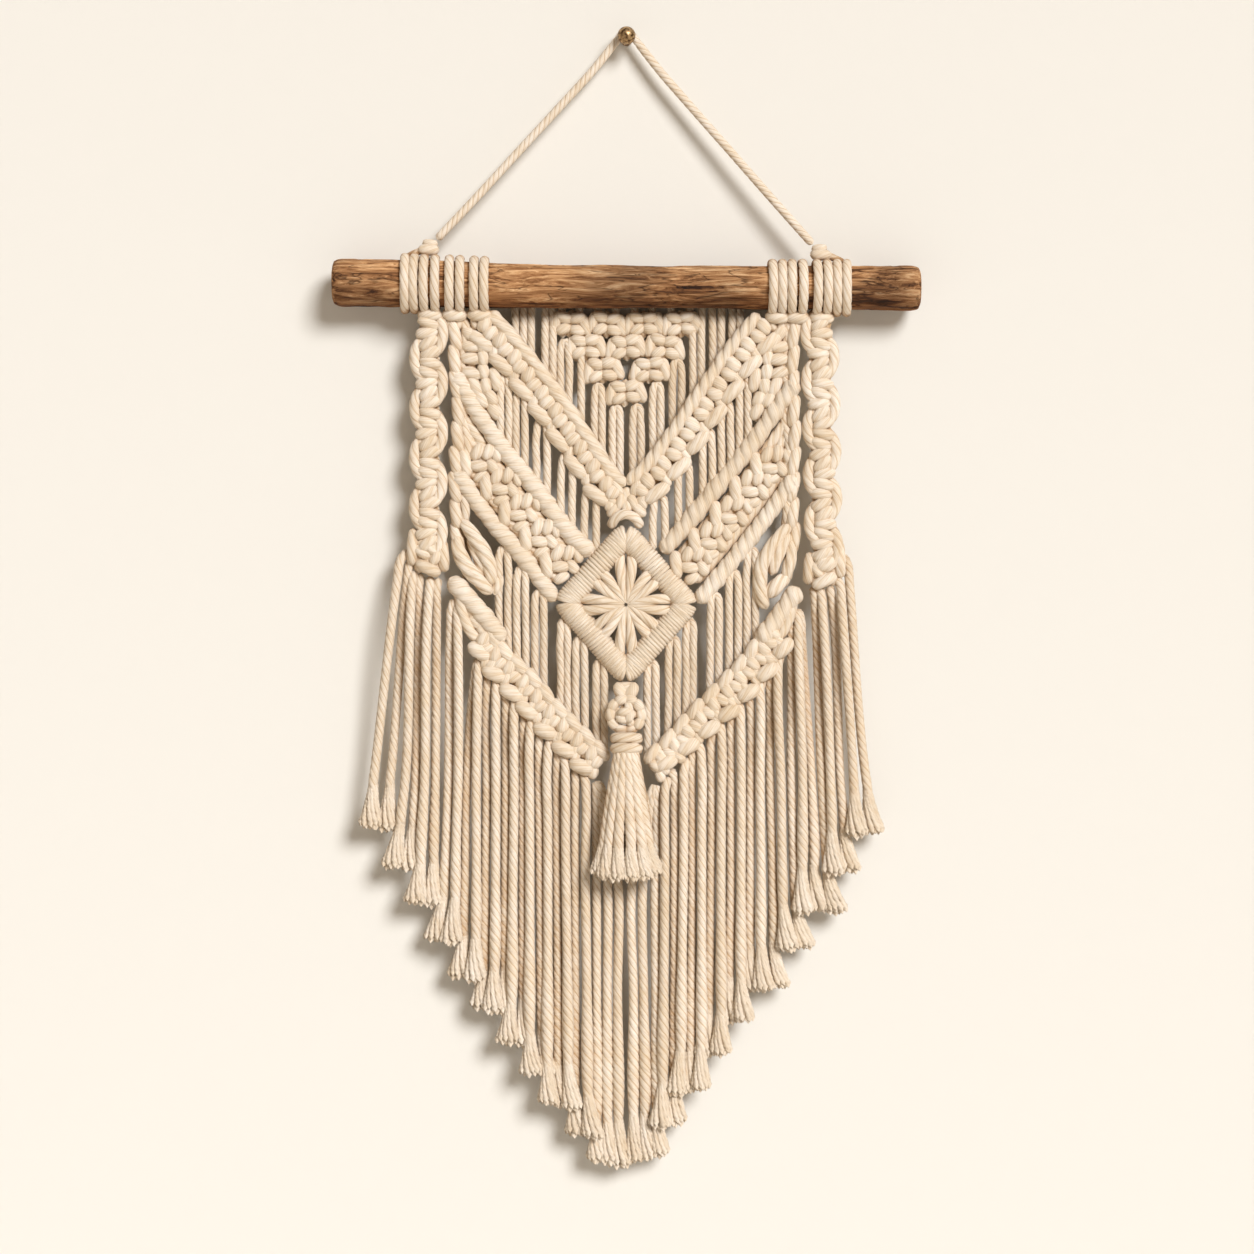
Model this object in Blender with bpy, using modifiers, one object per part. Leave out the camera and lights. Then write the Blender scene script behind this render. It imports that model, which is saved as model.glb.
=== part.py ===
"""Macrame wall hanging on a wooden rod, hung from a ball-headed peg.

Lengths are in millimetres and are turned into metres where a point is made.
A place is given as x (right of the peg), drop (below the peg) and out (in front of the wall).
The frame's origin is the middle of the peg's flat end on the wall, with +Y into the wall and +Z up.
"""
import math

import bmesh
import bpy
from mathutils import Matrix, Vector

MM = 0.001
OBJECT_NAME = "macrame_wall_hanging"
WRAP_GAP = 0.5
SHARP_ANGLE = math.radians(40)
FLAT_ANGLE = 0.002
CURVE_STEPS = 12
WELD = 0.00001

# Driving sizes of the cord and the rod
STRAND_R = 2.65
STRAND_SIDES = 3
ROD_OUT = 18.0
WRAP_WIDTH = 5.2
WRAP_THICK = 3.5
WRAP_STEPS = 11
WRAP_SIDES = 3
HITCH_BAR = (11.8, 7.0, 6.6)
HITCH_BAR_BELOW = 0.95

# Depth of each layer in front of the wall
BAND_BACK = 14.2
BACK_STEP = 0.3
STRAND_ROOT_OUT = 17.0
CAUGHT_ROOT_OUT = 16.4
CAUGHT_BEND = (12.0, 13.4)
TUCK_OUT = 10.9
TUCK_LENGTH = 10.0
LOWER_TUCK = 6.0
NET_BACK = 5.0
NET_TUCK = 5.0
TASSEL_OUT = 29.5

# The rod: where its middle runs and how thick it is there
ROD_STATIONS = (
    # x, drop, radius
    (-164.4, 138.8, 10.6),
    (-162.8, 138.8, 12.6),
    (-159.0, 138.9, 13.3),
    (-132.0, 139.1, 13.2),
    (-95.0, 139.8, 12.6),
    (-60.0, 140.6, 11.9),
    (-20.0, 141.0, 11.8),
    (25.0, 141.2, 11.6),
    (70.0, 141.5, 12.0),
    (110.0, 141.7, 12.3),
    (140.0, 141.8, 12.1),
    (159.5, 141.8, 12.4),
    (163.0, 141.8, 11.6),
    (164.4, 141.8, 9.8),
)

# The peg, turned about its own axis
PEG_BASE_R = 3.2
PEG_BASE_THICK = 2.0
PEG_NECK_R = 1.2
PEG_HEAD_R = 5.1
PEG_HEAD_OUT = 16.0
PEG_SIDES = 12
PEG_HEAD_STEPS = 6

# Hitches on the rod: the middles of the two turns of each
HANGER_HITCHES = {"left": (-123.9, -118.5), "right": (117.8, 123.1)}
HANGER_KNOTS = {"left": (-110.0, 118.6), "right": (108.0, 121.4)}
HANGER_KNOT_SIZE = (12.0, 8.0, 7.0)
HANGER_TAIL_R = 2.2
HANGER_TAIL_SINK = 0.4
HANGER_R = 2.4
HANGER_PRESSED = 0.5
HANGER_BEND = 0.005
HANGER_ROUTE = (
    # x, drop, out
    (-106.2, 114.4, 17.6),
    (-82.5, 89.0, 15.4),
    (-59.0, 63.0, 13.3),
    (-35.0, 36.6, 11.2),
    (-18.0, 17.6, 9.7),
    (-7.6, 4.4, 8.6),
    (-5.0, 0.9, 8.2),
    (-2.6, -2.6, 8.0),
    (0.0, -3.9, 8.0),
    (2.6, -2.6, 8.0),
    (5.0, 0.9, 8.2),
    (7.6, 4.4, 8.6),
    (18.0, 17.9, 9.7),
    (35.0, 37.8, 11.2),
    (58.0, 64.2, 13.3),
    (81.0, 90.8, 15.4),
    (104.2, 117.2, 17.6),
)
BRAID_HITCHES = {"left": (-112.9, -107.0), "right": (106.4, 112.1)}
PANEL_HITCHES = {
    "left": ((-99.0, -93.2), (-85.2, -79.4)),
    "right": ((81.6, 87.2), (92.6, 98.3)),
}

# Spiral braids: a core that snakes from side to side as it goes down to its end knot
BRAIDS = {
    # top x, top drop, end x, end drop, half turns, which way it goes first
    "left": (-110.5, 160.0, -111.0, 299.0, 10, 1),
    "right": (107.9, 160.4, 110.7, 306.0, 11, -1),
}
BRAID_SWAY = 4.8
BRAID_R = 6.5
BRAID_STEPS = 3
BRAID_CROSSING = 0.86
BRAID_FLATNESS = 0.85
BRAID_ROOT_SPREAD = 0.33
BRAID_KNOT_SIZE = (22.0, 15.0)

# Bands and bars of the panel, as (x, drop) points along each one's middle, from the outside in
UPPER_BAND = {
    "left": ((-82.5, 160.0), (-67.0, 176.8), (-52.9, 194.3), (-37.2, 215.6), (-24.4, 234.6), (-12.5, 251.5),
             (-5.5, 258.0)),
    "right": ((80.0, 161.0), (65.2, 178.6), (49.0, 201.6), (33.8, 224.0), (20.0, 242.5), (5.5, 257.0)),
}
MIDDLE_BAR = {
    "left": ((-96.0, 192.0), (-86.5, 207.5), (-71.0, 229.0), (-50.5, 254.5), (-30.9, 280.0), (-20.8, 288.7)),
    "right": ((95.0, 197.0), (85.5, 207.5), (66.5, 234.0), (49.0, 255.0), (30.0, 278.0), (22.0, 286.4)),
}
LOWER_BAR = {
    "left": ((-95.0, 247.0), (-86.0, 258.5), (-74.5, 273.5), (-58.5, 291.5), (-41.0, 315.0)),
    "right": ((95.0, 250.0), (88.5, 256.5), (79.0, 269.0), (59.5, 294.0), (40.6, 316.2)),
}
EDGE_CORDS = {
    "left": (((-95.8, 160.0), (-96.4, 185.0), (-94.0, 215.0), (-96.2, 250.0), (-95.0, 286.0), (-95.2, 308.0)),
             ((-91.0, 160.0), (-91.2, 190.0), (-89.6, 225.0), (-91.4, 262.0), (-90.2, 286.0), (-90.4, 312.0))),
    "right": (((89.6, 160.0), (88.8, 190.0), (90.4, 225.0), (88.8, 262.0), (90.0, 286.0), (90.0, 312.0)),
              ((93.8, 160.0), (93.0, 190.0), (94.2, 225.0), (92.8, 262.0), (94.4, 286.0), (94.2, 310.0))),
}

# How far down the edge cords start to lean back, and where they are behind the lowest band
EDGE_LEAN = (266.0, 286.0)

# Half width, depth and number of ridges along each kind of band, and how the edges follow the ridges
UPPER_BAND_SIZE = (10.4, 8.6, 11)
CHEVRON_BAR_SIZE = (5.0, 8.0, 11)
RIDGE_SPREAD = 1.06
VALLEY_SPREAD = 0.95

# Sections of the bands, from edge to edge, above a flat back
BAR_SECTION = (
    # how far across, height on a ridge, height in a valley
    (-1.0, 0.0, 0.0),
    (-0.6, 1.0, 0.74),
    (0.6, 1.0, 0.74),
    (1.0, 0.0, 0.0),
)
BEADED_SECTION = (
    # edge bar, row of beads, edge bar
    (-1.0, 0.0, 0.0),
    (-0.7, 1.0, 0.8),
    (-0.38, 0.62, 0.5),
    (0.0, 1.14, 0.48),
    (0.38, 0.62, 0.5),
    (0.7, 1.0, 0.8),
    (1.0, 0.0, 0.0),
)

# Square knots between the bars
PANEL_KNOTS = (
    # x, drop, width, height
    (-84.0, 183.0, 16.0, 32.0),
    (82.5, 186.0, 16.0, 32.0),
    (-81.5, 237.0, 25.0, 18.0),
    (-70.2, 250.4, 25.0, 18.0),
    (-59.5, 264.5, 25.0, 18.0),
    (-48.0, 279.0, 25.0, 18.0),
    (-36.5, 293.5, 25.0, 18.0),
    (81.0, 238.5, 25.0, 18.0),
    (70.0, 251.5, 25.0, 18.0),
    (58.5, 266.0, 25.0, 18.0),
    (47.0, 280.5, 25.0, 18.0),
    (36.5, 294.1, 25.0, 18.0),
    (0.0, 258.5, 22.0, 20.0),
)
CAP_CORD = (-0.3, 267.9)
CAP_CORD_SIZE = (20.0, 6.6, 9.0)
KNOT_DEPTH = 9.0
PANEL_STRAND_TUCK = 5.0
LUMP_SIDES = 8
LUMP_RINGS = 5

# How far a square knot's front stands out, column by column: side cord, two rungs, side cord
KNOT_COLUMNS = (
    # how far across, and the front's height at each of five rows
    (-1.0, (0.0, 0.0, 0.0, 0.0, 0.0)),
    (-0.7, (0.0, 0.9, 0.8, 0.9, 0.0)),
    (0.0, (0.0, 1.0, 0.5, 1.0, 0.0)),
    (0.7, (0.0, 0.9, 0.8, 0.9, 0.0)),
    (1.0, (0.0, 0.0, 0.0, 0.0, 0.0)),
)

# Free strands, by x: from the upper chevron to the middle bar
PANEL_STRAND_XS = (-70.5, -66.0, -62.0, -57.0, -50.5, -44.5, -36.5, -30.5, -23.5, -17.0,
                   15.0, 21.5, 29.0, 35.5, 42.5, 48.0, 53.3, 58.3, 63.2, 68.1)

# Free strands, by x: from the lower bar and from the diamond to the back of the lowest band
LOWER_STRAND_XS = (-71.5, -66.3, -61.5, -56.5, -51.5, -46.3, 47.0, 52.0, 57.5, 62.7, 67.5, 72.5)
MEDALLION_STRAND_XS = (-37.0, -33.0, -28.5, -23.3, -17.0, -12.4, 11.5, 16.5, 23.5, 28.5, 33.5, 37.5)

# Leaves: bundles of cord, thick in the middle
LEAF_BUNDLES = {
    "left": (((-91.5, 270.0), (-82.0, 280.0), (-74.0, 295.0), (-72.0, 309.0)),
             ((-93.5, 283.0), (-86.5, 294.5), (-78.5, 304.5), (-73.0, 311.0))),
    "right": (((90.5, 270.0), (79.5, 290.0), (73.5, 305.0), (76.0, 316.0)),
              ((90.5, 281.0), (91.5, 290.0), (86.0, 303.0), (77.5, 313.5))),
}
LEAF_R = 5.0
LEAF_TIP = 0.35
LEAF_STEPS = 6
LEAF_FLATNESS = 0.8
LEAF_OUT = 18.8

# The wrapped diamond and its star of looped cord
DIAMOND = {"top": (-0.5, 280.5), "left": (-33.6, 318.0), "bottom": (-0.3, 356.7), "right": (33.3, 318.6)}
DIAMOND_BAR_SIZE = (5.4, 9.5, 9)
DIAMOND_REACH = 4.0
STAR_MIDDLE = (-0.3, 319.0)
STAR_SLIT = 0.5
STAR_LOOPS = (
    # angle of the pair of loops in degrees from straight up, clockwise; its reach
    (0, 30.5), (45, 27.0), (90, 28.5), (135, 27.0), (180, 31.0), (225, 27.0), (270, 28.0), (315, 27.0),
)
LOOP_PAIR_SECTION = (
    # two looped cords side by side
    (-1.0, 0.0, 0.0),
    (-0.5, 1.0, 1.0),
    (0.0, 0.45, 0.45),
    (0.5, 1.0, 1.0),
    (1.0, 0.0, 0.0),
)
LOOP_PAIR_STATIONS = (
    # how far along, half width, depth
    (0.0, 1.6, 7.5),
    (0.4, 4.4, 7.0),
    (0.78, 5.3, 6.0),
    (1.0, 4.2, 3.6),
)

# The triangle of square knots and the strands beside and below it
NET_KNOT_SIZE = (22.6, 15.2)
NET_KNOT_DEPTH = 7.0
NET_LEAN = 0.03
NET_KNOTS = (
    # x, drop
    (-31.5, 161.0), (-11.0, 161.0), (9.5, 161.0), (30.5, 161.0),
    (-23.0, 174.0), (-0.5, 174.0), (21.5, 174.0),
    (-13.5, 187.0), (13.0, 187.0),
    (-0.5, 199.5),
)
NET_CORD_ENDS = (-76.0, 78.2)
NET_LOOP_STEP = 5.0
HOLDING_CORD_R = 2.3
HOLDING_CORD_GAP = 1.0
HOLDING_CORD_BOW = 0.5
NET_BEHIND_ROD = (150.0, 4.4)
NET_BELOW_ROD = (163.0, 9.4)
NET_LONG_XS = (-62.5, -58.0, -53.5, -45.6, -41.5, 42.3, 48.4, 53.5, 59.6, 64.1)
NET_SHORT_STRANDS = (
    # x, top drop
    (-37.2, 160.0), (-32.2, 164.0), (-25.5, 176.0), (-18.2, 188.0), (-13.7, 190.0), (-8.1, 198.0),
    (-3.6, 202.0), (3.6, 202.0), (8.1, 198.0), (14.8, 190.0), (19.3, 182.0), (26.0, 176.0), (31.1, 164.0),
    (37.2, 160.0),
)

# The lowest band of each side, and the thick cord that runs down to it from the edge
LOWER_BAND = {
    "left": ((-84.0, 337.0), (-76.8, 346.4), (-55.5, 367.7), (-46.0, 379.4), (-33.1, 392.3), (-15.5, 409.5)),
    "right": ((85.5, 333.5), (77.5, 346.8), (59.9, 367.0), (45.0, 381.5), (27.1, 400.6), (15.5, 411.5)),
}
LOWER_CORD = {
    "left": ((-99.0, 304.0), (-88.0, 316.0), (-76.0, 330.0), (-68.5, 339.5)),
    "right": ((96.6, 309.4), (89.0, 320.0), (81.0, 331.0), (74.0, 340.0)),
}
LOWER_BAND_SIZE = (11.2, 8.6, 8)
LOWER_CORD_SIZE = (6.0, 8.8, 4)
LOWER_BAND_SECTION = (
    # edge bar, row of small beads, row of large beads
    (-1.0, 0.0, 0.0),
    (-0.68, 0.85, 0.7),
    (-0.36, 0.5, 0.45),
    (-0.08, 0.9, 0.5),
    (0.18, 0.5, 0.42),
    (0.6, 1.15, 0.6),
    (1.0, 0.0, 0.0),
)
BAND_FRINGE_START = 92.0
BAND_END_INSET = 1.5

# Fringe: each tuft of frayed ends and the x of each strand that hangs down into it
FRINGE_HANG_DROP = 420.0
FRINGE_ROOT_RUN = 20.0
FRAY_RUN = 12.0
FRAY_GATHER = 0.35
FRAY_LENGTH = 21.0
FRAY_R = (4.6, 5.4, 4.1)
FRAY_PITCH = (0.0, 9.0, 6.7)
FRINGE_OUTS = (14.2, 19.8)
BEHIND_TASSEL = 17.5
BRAID_FRINGE = {
    # tuft x, tuft drop, strand xs
    "left": ((-139.0, 445.0, (-140.5, -131.5)), (-126.5, 467.5, (-124.0, -118.5)),
             (-114.0, 487.5, (-113.0, -107.2))),
    "right": ((133.5, 448.5, (126.8, 133.6)), (120.5, 470.0, (114.5, 120.3)), (117.6, 492.0, (109.5,))),
}
BAND_FRINGE = {
    # tuft x, tuft drop, strand xs
    "left": ((-103.0, 508.5, (-100.0, -94.5)), (-89.5, 529.5, (-89.5, -84.0)),
             (-75.5, 547.5, (-78.4, -73.0, -67.8)), (-62.5, 566.0, (-62.8, -58.0)),
             (-49.0, 583.5, (-54.0, -49.2)), (-37.0, 600.5, (-44.0, -39.2, -34.2)),
             (-23.5, 617.5, (-28.8, -22.8)), (-9.6, 633.0, (-17.0, -11.0, -5.4))),
    "right": ((103.0, 492.0, (98.4, 103.8)), (95.0, 512.5, (86.5, 92.2)), (81.0, 535.0, (75.0, 80.6)),
              (69.0, 536.0, (69.4,)), (60.5, 553.5, (58.6, 64.0)), (48.0, 572.0, (47.4, 53.2)),
              (34.5, 592.5, (32.0, 36.6, 42.0)), (23.0, 611.5, (21.6, 26.8)),
              (11.8, 630.0, (3.6, 9.4, 16.0))),
}

# The ball and its tassel
COLLAR = (-0.3, 367.9)
COLLAR_SIZE = (15.5, 11.1, 9.0)
COLLAR_OUT = 20.5
RING_MIDDLE = (-0.3, 380.4)
RING_R = 8.6
RING_CORD_R = 3.2
BALL_R = 6.0
RING_OUT = 23.5
RING_SEGMENTS = (12, 6)
NECK_STATIONS = (
    # drop, out, radius
    (391.5, 25.0, 7.6),
    (394.3, 25.9, 8.4),
    (397.1, 26.8, 7.6),
    (400.0, 27.6, 8.4),
    (402.8, 28.5, 7.6),
)
NECK_FLATNESS = 0.85
SKIRT_STRANDS = 10
SKIRT_STATIONS = (
    # drop, half width, half depth, strand radius
    (400.0, 5.6, 3.0, 3.2),
    (435.0, 10.5, 6.0, 3.2),
    (458.0, 15.6, 7.0, 4.25),
    (470.0, 17.0, 7.0, 5.0),
)
SKIRT_TILT = 4.0

# Colours, roughness and metallic value of each material
COTTON = ("cotton_cord", (0.80, 0.71, 0.58), 0.9, 0.0)
WOOD = ("weathered_wood", (0.26, 0.15, 0.09), 0.75, 0.0)
BRONZE = ("aged_brass", (0.42, 0.27, 0.13), 0.38, 0.9)


def at(x, drop, out):
    """The point at x, drop and out, in metres."""
    return Vector((x, -out, -drop)) * MM


def clear_scene():
    for scene_object in list(bpy.data.objects):
        bpy.data.objects.remove(scene_object, do_unlink=True)


def make_material(name, color, roughness, metallic):
    material = bpy.data.materials.new(name)
    material.use_nodes = True
    shader = material.node_tree.nodes["Principled BSDF"]
    shader.inputs["Base Color"].default_value = (*color, 1.0)
    shader.inputs["Roughness"].default_value = roughness
    shader.inputs["Metallic"].default_value = metallic
    material.diffuse_color = (*color, 1.0)
    return material


def add_object(name, mesh):
    """An object for the mesh, in the scene's own collection until it is placed."""
    new_object = bpy.data.objects.new(name, mesh)
    bpy.context.scene.collection.objects.link(new_object)
    return new_object


def move_to(piece, collection):
    for holder in list(piece.users_collection):
        holder.objects.unlink(piece)
    collection.objects.link(piece)


def finer(points, steps):
    """Points on a smooth curve through the given ones, with so many steps from each to the next."""
    padded = [points[0] * 2 - points[1], *points, points[-1] * 2 - points[-2]]
    fine = []
    for first, start, end, last in zip(padded, padded[1:], padded[2:], padded[3:]):
        for step in range(steps):
            t = step / steps
            slope = (end - first) * t
            bend = (2 * first - 5 * start + 4 * end - last) * t ** 2
            turn = (3 * start - first - 3 * end + last) * t ** 3
            fine.append(start + (slope + bend + turn) / 2)
    fine.append(points[-1].copy())
    return fine


def curve_through(points, count):
    """Evenly spaced points on a smooth curve through the given ones."""
    fine = finer(points, CURVE_STEPS)
    lengths = [0.0]
    for start, end in zip(fine, fine[1:]):
        lengths.append(lengths[-1] + (end - start).length)
    spaced = []
    index = 0
    for number in range(count):
        wanted = lengths[-1] * number / (count - 1)
        while index < len(fine) - 2 and lengths[index + 1] < wanted:
            index += 1
        span = lengths[index + 1] - lengths[index]
        spaced.append(fine[index].lerp(fine[index + 1], (wanted - lengths[index]) / span))
    return spaced


def drop_on(path, x):
    """How far down a bar's middle line is at x."""
    ordered = sorted(path)
    if x <= ordered[0][0]:
        return ordered[0][1]
    for (x0, drop0), (x1, drop1) in zip(ordered, ordered[1:]):
        if x <= x1:
            return drop0 + (drop1 - drop0) * (x - x0) / (x1 - x0)
    return ordered[-1][1]


def side_of(x):
    return "left" if x < 0 else "right"


def tube(points, radii, fineness=0):
    """A closed tube along the points: fineness 0 has four sides, and each step adds two."""
    curve = bpy.data.curves.new("tube", "CURVE")
    curve.dimensions = "3D"
    curve.bevel_depth = MM
    curve.bevel_resolution = fineness
    curve.use_fill_caps = True
    curve.resolution_u = 1
    curve.render_resolution_u = 0
    spline = curve.splines.new("POLY")
    spline.points.add(len(points) - 1)
    for spline_point, place, radius in zip(spline.points, points, radii):
        spline_point.co = (*place, 1.0)
        spline_point.radius = radius
    return mesh_from_curve(curve)


def mesh_from_curve(curve):
    guide = add_object("tube", curve)
    bpy.context.view_layer.update()
    evaluated = guide.evaluated_get(bpy.context.evaluated_depsgraph_get())
    mesh = bpy.data.meshes.new_from_object(evaluated)
    piece = add_object("piece", mesh)
    piece.matrix_world = guide.matrix_world.copy()
    weld(mesh)
    bpy.data.objects.remove(guide, do_unlink=True)
    bpy.data.curves.remove(curve)
    return piece


def weld(mesh):
    shape = bmesh.new()
    shape.from_mesh(mesh)
    bmesh.ops.remove_doubles(shape, verts=shape.verts, dist=WELD)
    bmesh.ops.recalc_face_normals(shape, faces=shape.faces)
    shape.to_mesh(mesh)
    shape.free()


def flatten(piece, ratio, out):
    """Squeezes a piece towards the layer at out."""
    middle = Matrix.Translation((0, -out * MM, 0))
    piece.data.transform(middle @ Matrix.Diagonal((1, ratio, 1, 1)) @ middle.inverted())
    return piece


def loft(name, rings):
    """A closed solid through rings of equally many points."""
    shape = bmesh.new()
    corners = [[shape.verts.new(place) for place in ring] for ring in rings]
    for ring, next_ring in zip(corners, corners[1:]):
        for first in range(len(ring)):
            second = (first + 1) % len(ring)
            shape.faces.new((ring[first], ring[second], next_ring[second], next_ring[first]))
    shape.faces.new(corners[0])
    shape.faces.new(reversed(corners[-1]))
    bmesh.ops.recalc_face_normals(shape, faces=shape.faces)
    mesh = bpy.data.meshes.new(name)
    shape.to_mesh(mesh)
    shape.free()
    return add_object(name, mesh)


def strand(places, radii=None):
    """A free strand with an edge to the front, through places given as (x, drop, out)."""
    radii = radii or [STRAND_R] * len(places)
    turns = [math.tau * side / STRAND_SIDES for side in range(STRAND_SIDES)]
    rings = []
    for (x, drop, out), radius in zip(places, radii):
        rings.append([at(x + radius * math.sin(turn), drop, out + radius * math.cos(turn)) for turn in turns])
    return loft("strand", rings)


def strip(points, half_widths, depths, section):
    """A strip with a flat back: every second point along it is a ridge, the rest are valleys."""
    to_wall = Vector((0, 1, 0))
    rings = []
    for index, point in enumerate(points):
        along = points[min(index + 1, len(points) - 1)] - points[max(index - 1, 0)]
        across = along.cross(to_wall).normalized() * half_widths[index] * MM
        front = -to_wall * depths[index] * MM
        heights = [ridge if index % 2 else valley for reach, ridge, valley in section]
        rings.append([point + across * row[0] + front * height for row, height in zip(section, heights)])
    return loft("strip", rings)


def band(path, size, section=BAR_SECTION, back=BAND_BACK):
    """A cord-covered band along (x, drop) points, whose wraps and beads stand up as ridges."""
    half_width, depth, ridges = size
    points = curve_through([at(x, drop, back) for x, drop in path], 2 * ridges + 1)
    half_widths = [half_width * (RIDGE_SPREAD if index % 2 else VALLEY_SPREAD) for index in range(len(points))]
    return strip(points, half_widths, [depth] * len(points), section)


def lump(x, drop, out, size, sides=LUMP_SIDES, rings=LUMP_RINGS):
    """A rounded knot of width, height and depth."""
    shape = bmesh.new()
    bmesh.ops.create_uvsphere(shape, u_segments=sides, v_segments=rings, radius=0.5)
    width, height, depth = size
    scale = Matrix.Diagonal((width * MM, depth * MM, height * MM, 1))
    bmesh.ops.transform(shape, matrix=Matrix.Translation(at(x, drop, out)) @ scale, verts=shape.verts)
    mesh = bpy.data.meshes.new("lump")
    shape.to_mesh(mesh)
    shape.free()
    return add_object("lump", mesh)


def square_knot(x, drop, back, size, depth=KNOT_DEPTH):
    """A square knot with a flat back: two upright side cords, with two rungs across the front."""
    width, height = size
    shape = bmesh.new()
    cells = len(KNOT_COLUMNS) - 1
    bmesh.ops.create_grid(shape, x_segments=cells, y_segments=cells, size=0.5)
    corners = [vertex for vertex in shape.verts if min(abs(vertex.co.x), abs(vertex.co.y)) > 0.49]
    bmesh.ops.dissolve_verts(shape, verts=corners)
    for vertex in shape.verts:
        across, heights = KNOT_COLUMNS[round((vertex.co.x + 0.5) * cells)]
        raised = heights[round((vertex.co.y + 0.5) * cells)]
        vertex.co = at(x + across * width / 2, drop - vertex.co.y * height, back + depth * raised)
    bmesh.ops.holes_fill(shape, edges=[edge for edge in shape.edges if edge.is_boundary])
    bmesh.ops.recalc_face_normals(shape, faces=shape.faces)
    mesh = bpy.data.meshes.new("square_knot")
    shape.to_mesh(mesh)
    shape.free()
    return add_object("square_knot", mesh)


def rod_at(x):
    """The rod's drop and radius at x."""
    for (x0, drop0, radius0), (x1, drop1, radius1) in zip(ROD_STATIONS, ROD_STATIONS[1:]):
        if x0 <= x <= x1:
            t = (x - x0) / (x1 - x0)
            return drop0 + (drop1 - drop0) * t, radius0 + (radius1 - radius0) * t
    raise ValueError("x is off the rod")


def wrap(x):
    """One turn of cord round the rod, flat on its inside."""
    drop, radius = rod_at(x)
    polygon_allowance = 1 / math.cos(math.pi / WRAP_STEPS)
    section_r = WRAP_THICK * 2 / 3
    major = (radius + WRAP_GAP) * polygon_allowance + section_r / 2
    bpy.ops.mesh.primitive_torus_add(major_segments=WRAP_STEPS, minor_segments=WRAP_SIDES,
                                     major_radius=major * MM, minor_radius=section_r * MM)
    turn = bpy.context.active_object
    lay_over = Matrix.Rotation(math.pi / 2, 4, "Y")
    widen = Matrix.Diagonal((WRAP_WIDTH / (section_r * math.sqrt(3)), 1, 1, 1))
    turn.data.transform(Matrix.Translation(at(x, drop, ROD_OUT)) @ widen @ lay_over)
    return turn


def hitch(turns):
    """A lark's head: two turns round the rod and the bar below that joins them."""
    middle = sum(turns) / len(turns)
    drop, radius = rod_at(middle)
    width, height, depth = HITCH_BAR
    bar_drop = drop + radius + height / 2 + HITCH_BAR_BELOW
    return [*(wrap(x) for x in turns), lump(middle, bar_drop, ROD_OUT, (width, height, depth))]


def fuse(name, pieces):
    """Joins overlapping pieces into one solid."""
    operands = bpy.data.collections.new("operands")
    bpy.context.scene.collection.children.link(operands)
    base = pieces[0]
    for piece in pieces[1:]:
        move_to(piece, operands)
    union = base.modifiers.new("fuse", "BOOLEAN")
    union.operation = "UNION"
    union.operand_type = "COLLECTION"
    union.collection = operands
    union.solver = "EXACT"
    bpy.context.view_layer.update()
    evaluated = base.evaluated_get(bpy.context.evaluated_depsgraph_get())
    mesh = bpy.data.meshes.new_from_object(evaluated)
    for piece in pieces:
        bpy.data.objects.remove(piece, do_unlink=True)
    bpy.data.collections.remove(operands)
    merge_flat_faces(mesh)
    mesh.name = name
    return add_object(name, mesh)


def merge_flat_faces(mesh):
    """Joins the faces that lie in one plane, which the union leaves cut up."""
    shape = bmesh.new()
    shape.from_mesh(mesh)
    bmesh.ops.dissolve_limit(shape, angle_limit=FLAT_ANGLE, verts=shape.verts, edges=shape.edges)
    shape.to_mesh(mesh)
    shape.free()


def finish(part, collection, material):
    """Gives a part its material and its place in the object's collection."""
    part.data.materials.clear()
    part.data.materials.append(material)
    part.data.shade_smooth()
    part.data.set_sharp_from_angle(angle=SHARP_ANGLE)
    move_to(part, collection)


def make_rod():
    points = [at(x, drop, ROD_OUT) for x, drop, radius in ROD_STATIONS]
    rod = tube(points, [radius for x, drop, radius in ROD_STATIONS], 4)
    rod.name = "rod"
    return rod


def make_wall_peg():
    """A turned peg: base on the wall, thin neck that the cord hangs on, ball head."""
    head_back = math.asin(PEG_NECK_R / PEG_HEAD_R)
    profile = [(0.0, 0.0), (PEG_BASE_R, 0.0), (PEG_BASE_R, PEG_BASE_THICK), (PEG_NECK_R, PEG_BASE_THICK + 0.8)]
    for step in range(PEG_HEAD_STEPS + 1):
        angle = head_back + (math.pi - head_back) * step / PEG_HEAD_STEPS
        radius = PEG_HEAD_R * math.sin(angle) if step < PEG_HEAD_STEPS else 0.0
        profile.append((radius, PEG_HEAD_OUT - PEG_HEAD_R * math.cos(angle)))
    shape = bmesh.new()
    rows = [shape.verts.new((radius * MM, -out * MM, 0)) for radius, out in profile]
    for start, end in zip(rows, rows[1:]):
        shape.edges.new((start, end))
    mesh = bpy.data.meshes.new("wall_peg")
    shape.to_mesh(mesh)
    shape.free()
    peg = add_object("wall_peg", mesh)
    turning = peg.modifiers.new("turn", "SCREW")
    turning.axis = "Y"
    turning.steps = PEG_SIDES
    turning.render_steps = PEG_SIDES
    turning.use_merge_vertices = True
    turning.merge_threshold = WELD
    turning.use_normal_calculate = True
    return peg


def make_hanger_cord():
    """The hanging cord from knot to knot over the peg, pressed a little thinner where it bends."""
    points = finer([at(*place) for place in HANGER_ROUTE], 2)
    radii = [HANGER_R - HANGER_PRESSED * math.exp(-(point.x / HANGER_BEND) ** 2) for point in points]
    cord = tube(points, radii, 2)
    cord.name = "hanger_cord"
    return cord


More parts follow.
